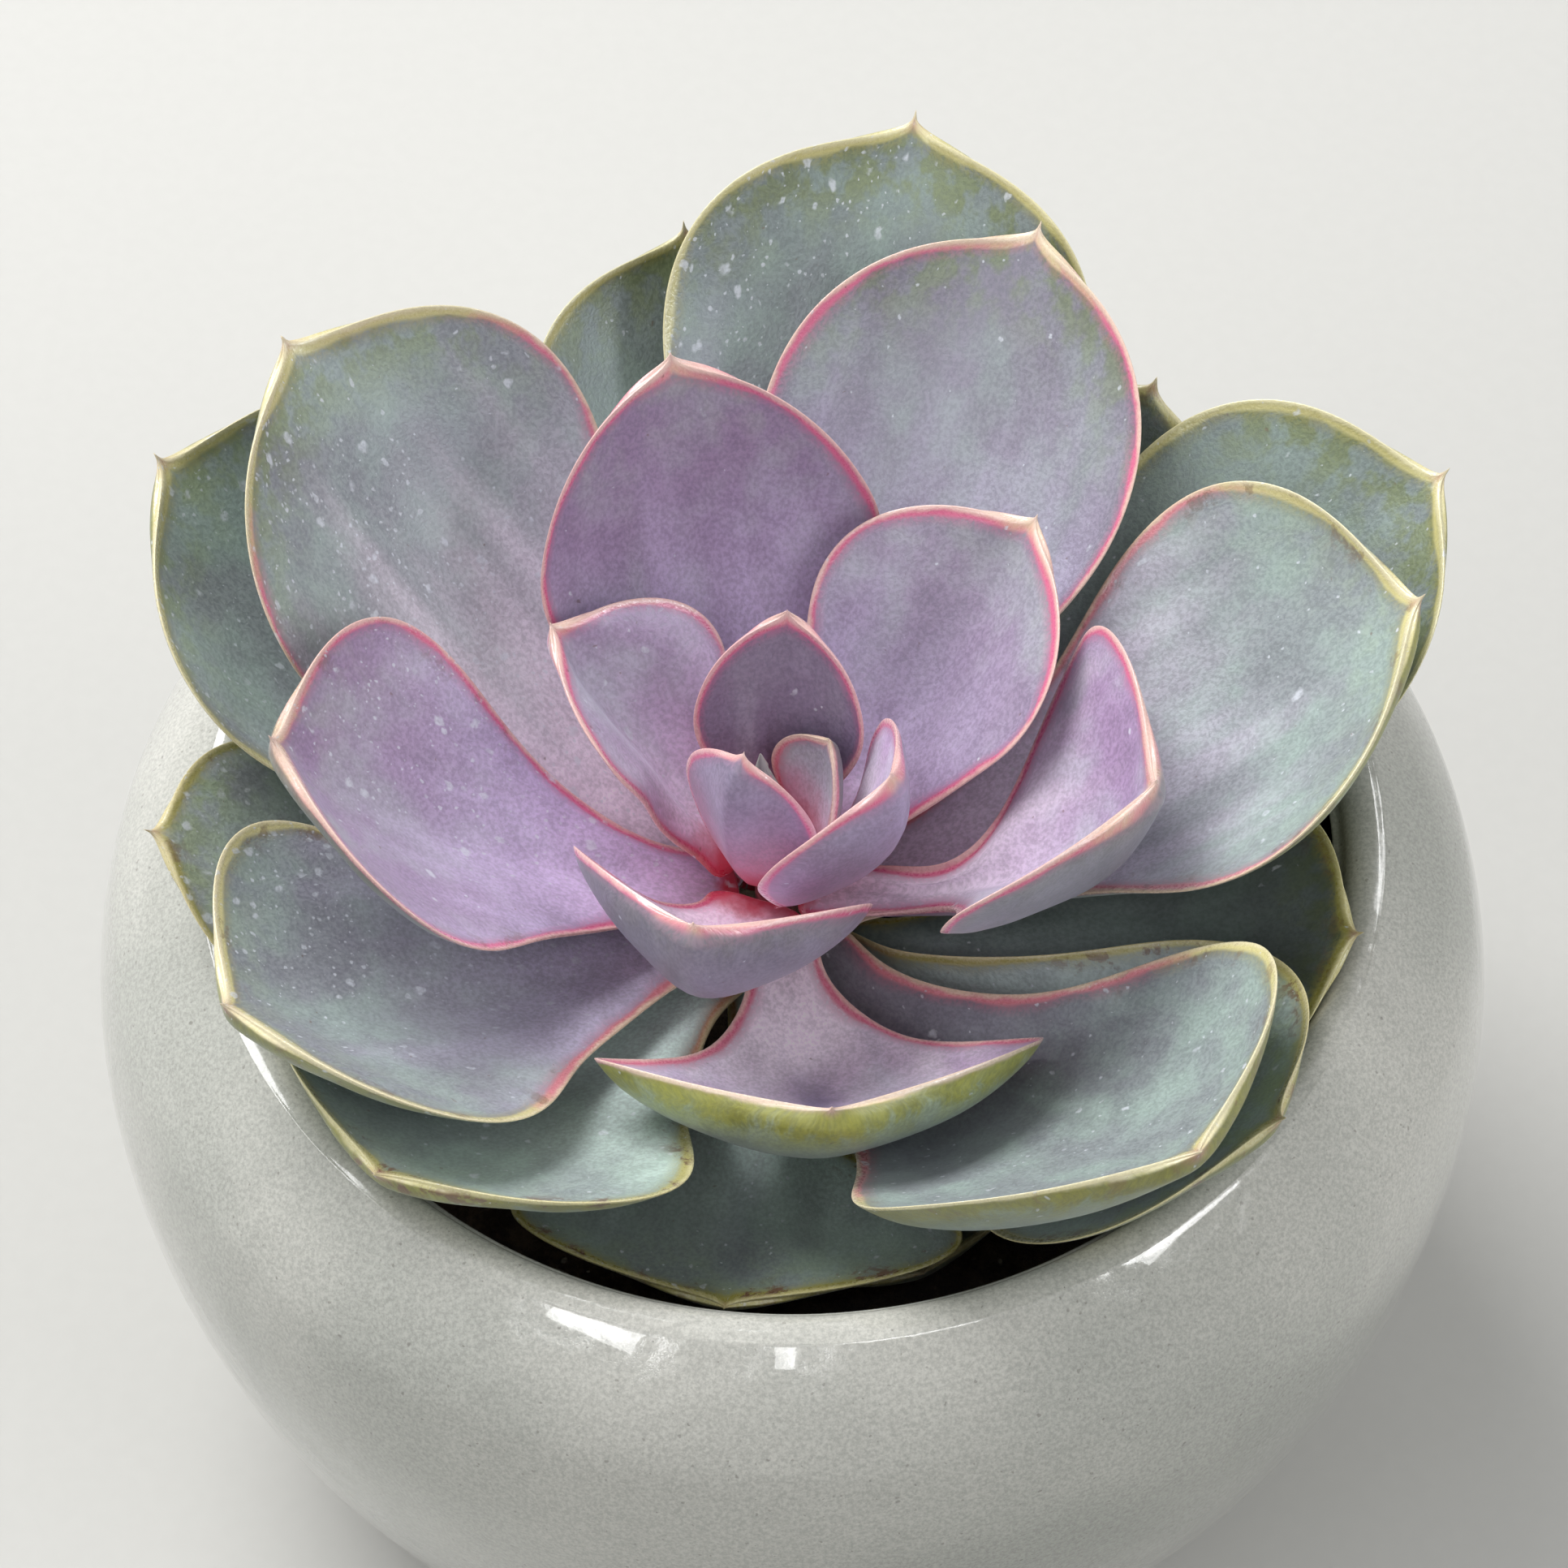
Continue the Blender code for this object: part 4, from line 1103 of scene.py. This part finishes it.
def add_floor(settings):
    """The plain floor."""
    bm = bmesh.new()
    bmesh.ops.create_grid(bm, x_segments=2, y_segments=2, size=FLOOR_REACH)
    floor = new_object("studio_floor", bm)
    floor.data.materials.append(floor_material(settings))


def add_lights(settings):
    """The lamps, and a sky that lights evenly and shows as the backdrop."""
    add_lamp("key", KEY_PLACE, settings.key_power, KEY_WIDTH, KEY_WIDTH)
    for name, (place, share) in FILLS.items():
        lamp = add_lamp(name, place, share * settings.fill_power, FILL_WIDTH, FILL_WIDTH)
        lamp.visible_glossy = False
    for number, (x, y, width, depth) in enumerate(SPARKLES, start=1):
        power = settings.sparkle_power * width * depth
        lamp = add_lamp(f"sparkle_{number}", (x, y, SPARKLE_HEIGHT), power, width, depth)
        lamp.visible_diffuse = False
    world = bpy.data.worlds.new("Studio sky")
    bpy.context.scene.world = world
    world.use_nodes = True
    graph = Graph(world.node_tree)
    light = [settings.sky * share for share in SKY_COLOUR]
    graph.feed(world.node_tree.nodes["Background"], {
        "Color": graph.mix(seen_rays(graph), light, settings.backdrop), "Strength": 1.0,
    })


def add_camera(settings):
    """The camera, tilted down at the pot."""
    lens = bpy.data.cameras.new("camera")
    lens.sensor_width = SENSOR_WIDTH
    lens.lens = FOCAL_LENGTH
    lens.shift_x, lens.shift_y = LENS_SHIFT
    camera = bpy.data.objects.new("camera", lens)
    bpy.context.scene.collection.objects.link(camera)
    away = Vector((0.0, -math.cos(settings.tilt), math.sin(settings.tilt)))
    camera.location = CAMERA_AIM + settings.distance * away
    camera.rotation_euler = (math.pi / 2.0 - settings.tilt, 0.0, 0.0)
    bpy.context.scene.camera = camera
    bpy.context.scene.view_settings.view_transform = "Standard"


# ---------------------------------------------------------------- operators and panel


class ECHEVERIA_OT_leaves(bpy.types.Operator):
    """Dress the leaves of the rosette"""

    bl_idname = "echeveria.leaves"
    bl_label = "Leaves"

    def execute(self, context):
        for rank, look in enumerate(LOOKS, start=1):
            add_leaf(rank, look, context.scene.echeveria_leaves)
        return {"FINISHED"}


class ECHEVERIA_OT_bud(bpy.types.Operator):
    """Dress the closed bud in the heart"""

    bl_idname = "echeveria.bud"
    bl_label = "Bud"

    def execute(self, context):
        add_bud(context.scene.echeveria_soil, context.scene.echeveria_leaves)
        return {"FINISHED"}


class ECHEVERIA_OT_stem(bpy.types.Operator):
    """Dress the short stem"""

    bl_idname = "echeveria.stem"
    bl_label = "Stem"

    def execute(self, context):
        add_stem(context.scene.echeveria_soil)
        return {"FINISHED"}


class ECHEVERIA_OT_soil(bpy.types.Operator):
    """Dress the soil and strew crumbs on it"""

    bl_idname = "echeveria.soil"
    bl_label = "Soil"

    def execute(self, context):
        settings = context.scene.echeveria_soil
        earth = earth_material(settings)
        add_soil(earth)
        add_crumbs(earth, settings)
        return {"FINISHED"}


class ECHEVERIA_OT_pot(bpy.types.Operator):
    """Dress the glazed pot"""

    bl_idname = "echeveria.pot"
    bl_label = "Pot"

    def execute(self, context):
        add_pot(context.scene.echeveria_pot)
        return {"FINISHED"}


class ECHEVERIA_OT_studio(bpy.types.Operator):
    """Add the floor, the lamps and the camera"""

    bl_idname = "echeveria.studio"
    bl_label = "Studio"

    def execute(self, context):
        for add in (add_floor, add_lights, add_camera):
            add(context.scene.echeveria_studio)
        return {"FINISHED"}


OPERATORS = (
    ECHEVERIA_OT_leaves, ECHEVERIA_OT_bud, ECHEVERIA_OT_stem, ECHEVERIA_OT_soil, ECHEVERIA_OT_pot,
    ECHEVERIA_OT_studio,
)
SETTINGS = (
    ("echeveria_leaves", EcheveriaLeafSettings),
    ("echeveria_pot", EcheveriaPotSettings),
    ("echeveria_soil", EcheveriaSoilSettings),
    ("echeveria_studio", EcheveriaStudioSettings),
)


class ECHEVERIA_PT_panel(bpy.types.Panel):
    """The steps that dress the part, and their settings"""

    bl_idname = "ECHEVERIA_PT_panel"
    bl_label = "Potted Echeveria"
    bl_space_type = "VIEW_3D"
    bl_region_type = "UI"
    bl_category = "Echeveria"

    def draw(self, context):
        for operator in OPERATORS:
            self.layout.operator(operator.bl_idname)
        for name, kind in SETTINGS:
            box = self.layout.box()
            for setting in kind.__annotations__:
                box.prop(getattr(context.scene, name), setting)


def register():
    """Registers the settings, operators and panel."""
    for name, kind in SETTINGS:
        bpy.utils.register_class(kind)
        setattr(bpy.types.Scene, name, bpy.props.PointerProperty(type=kind))
    for kind in OPERATORS + (ECHEVERIA_PT_panel,):
        bpy.utils.register_class(kind)


def unregister():
    """Undoes register."""
    for kind in reversed(OPERATORS + (ECHEVERIA_PT_panel,)):
        bpy.utils.unregister_class(kind)
    for name, kind in reversed(SETTINGS):
        delattr(bpy.types.Scene, name)
        bpy.utils.unregister_class(kind)


def main():
    """Dresses the part."""
    register()
    bpy.ops.echeveria.studio()
    bpy.ops.echeveria.pot()
    bpy.ops.echeveria.soil()
    bpy.ops.echeveria.stem()
    bpy.ops.echeveria.bud()
    bpy.ops.echeveria.leaves()


if __name__ == "__main__":
    main()
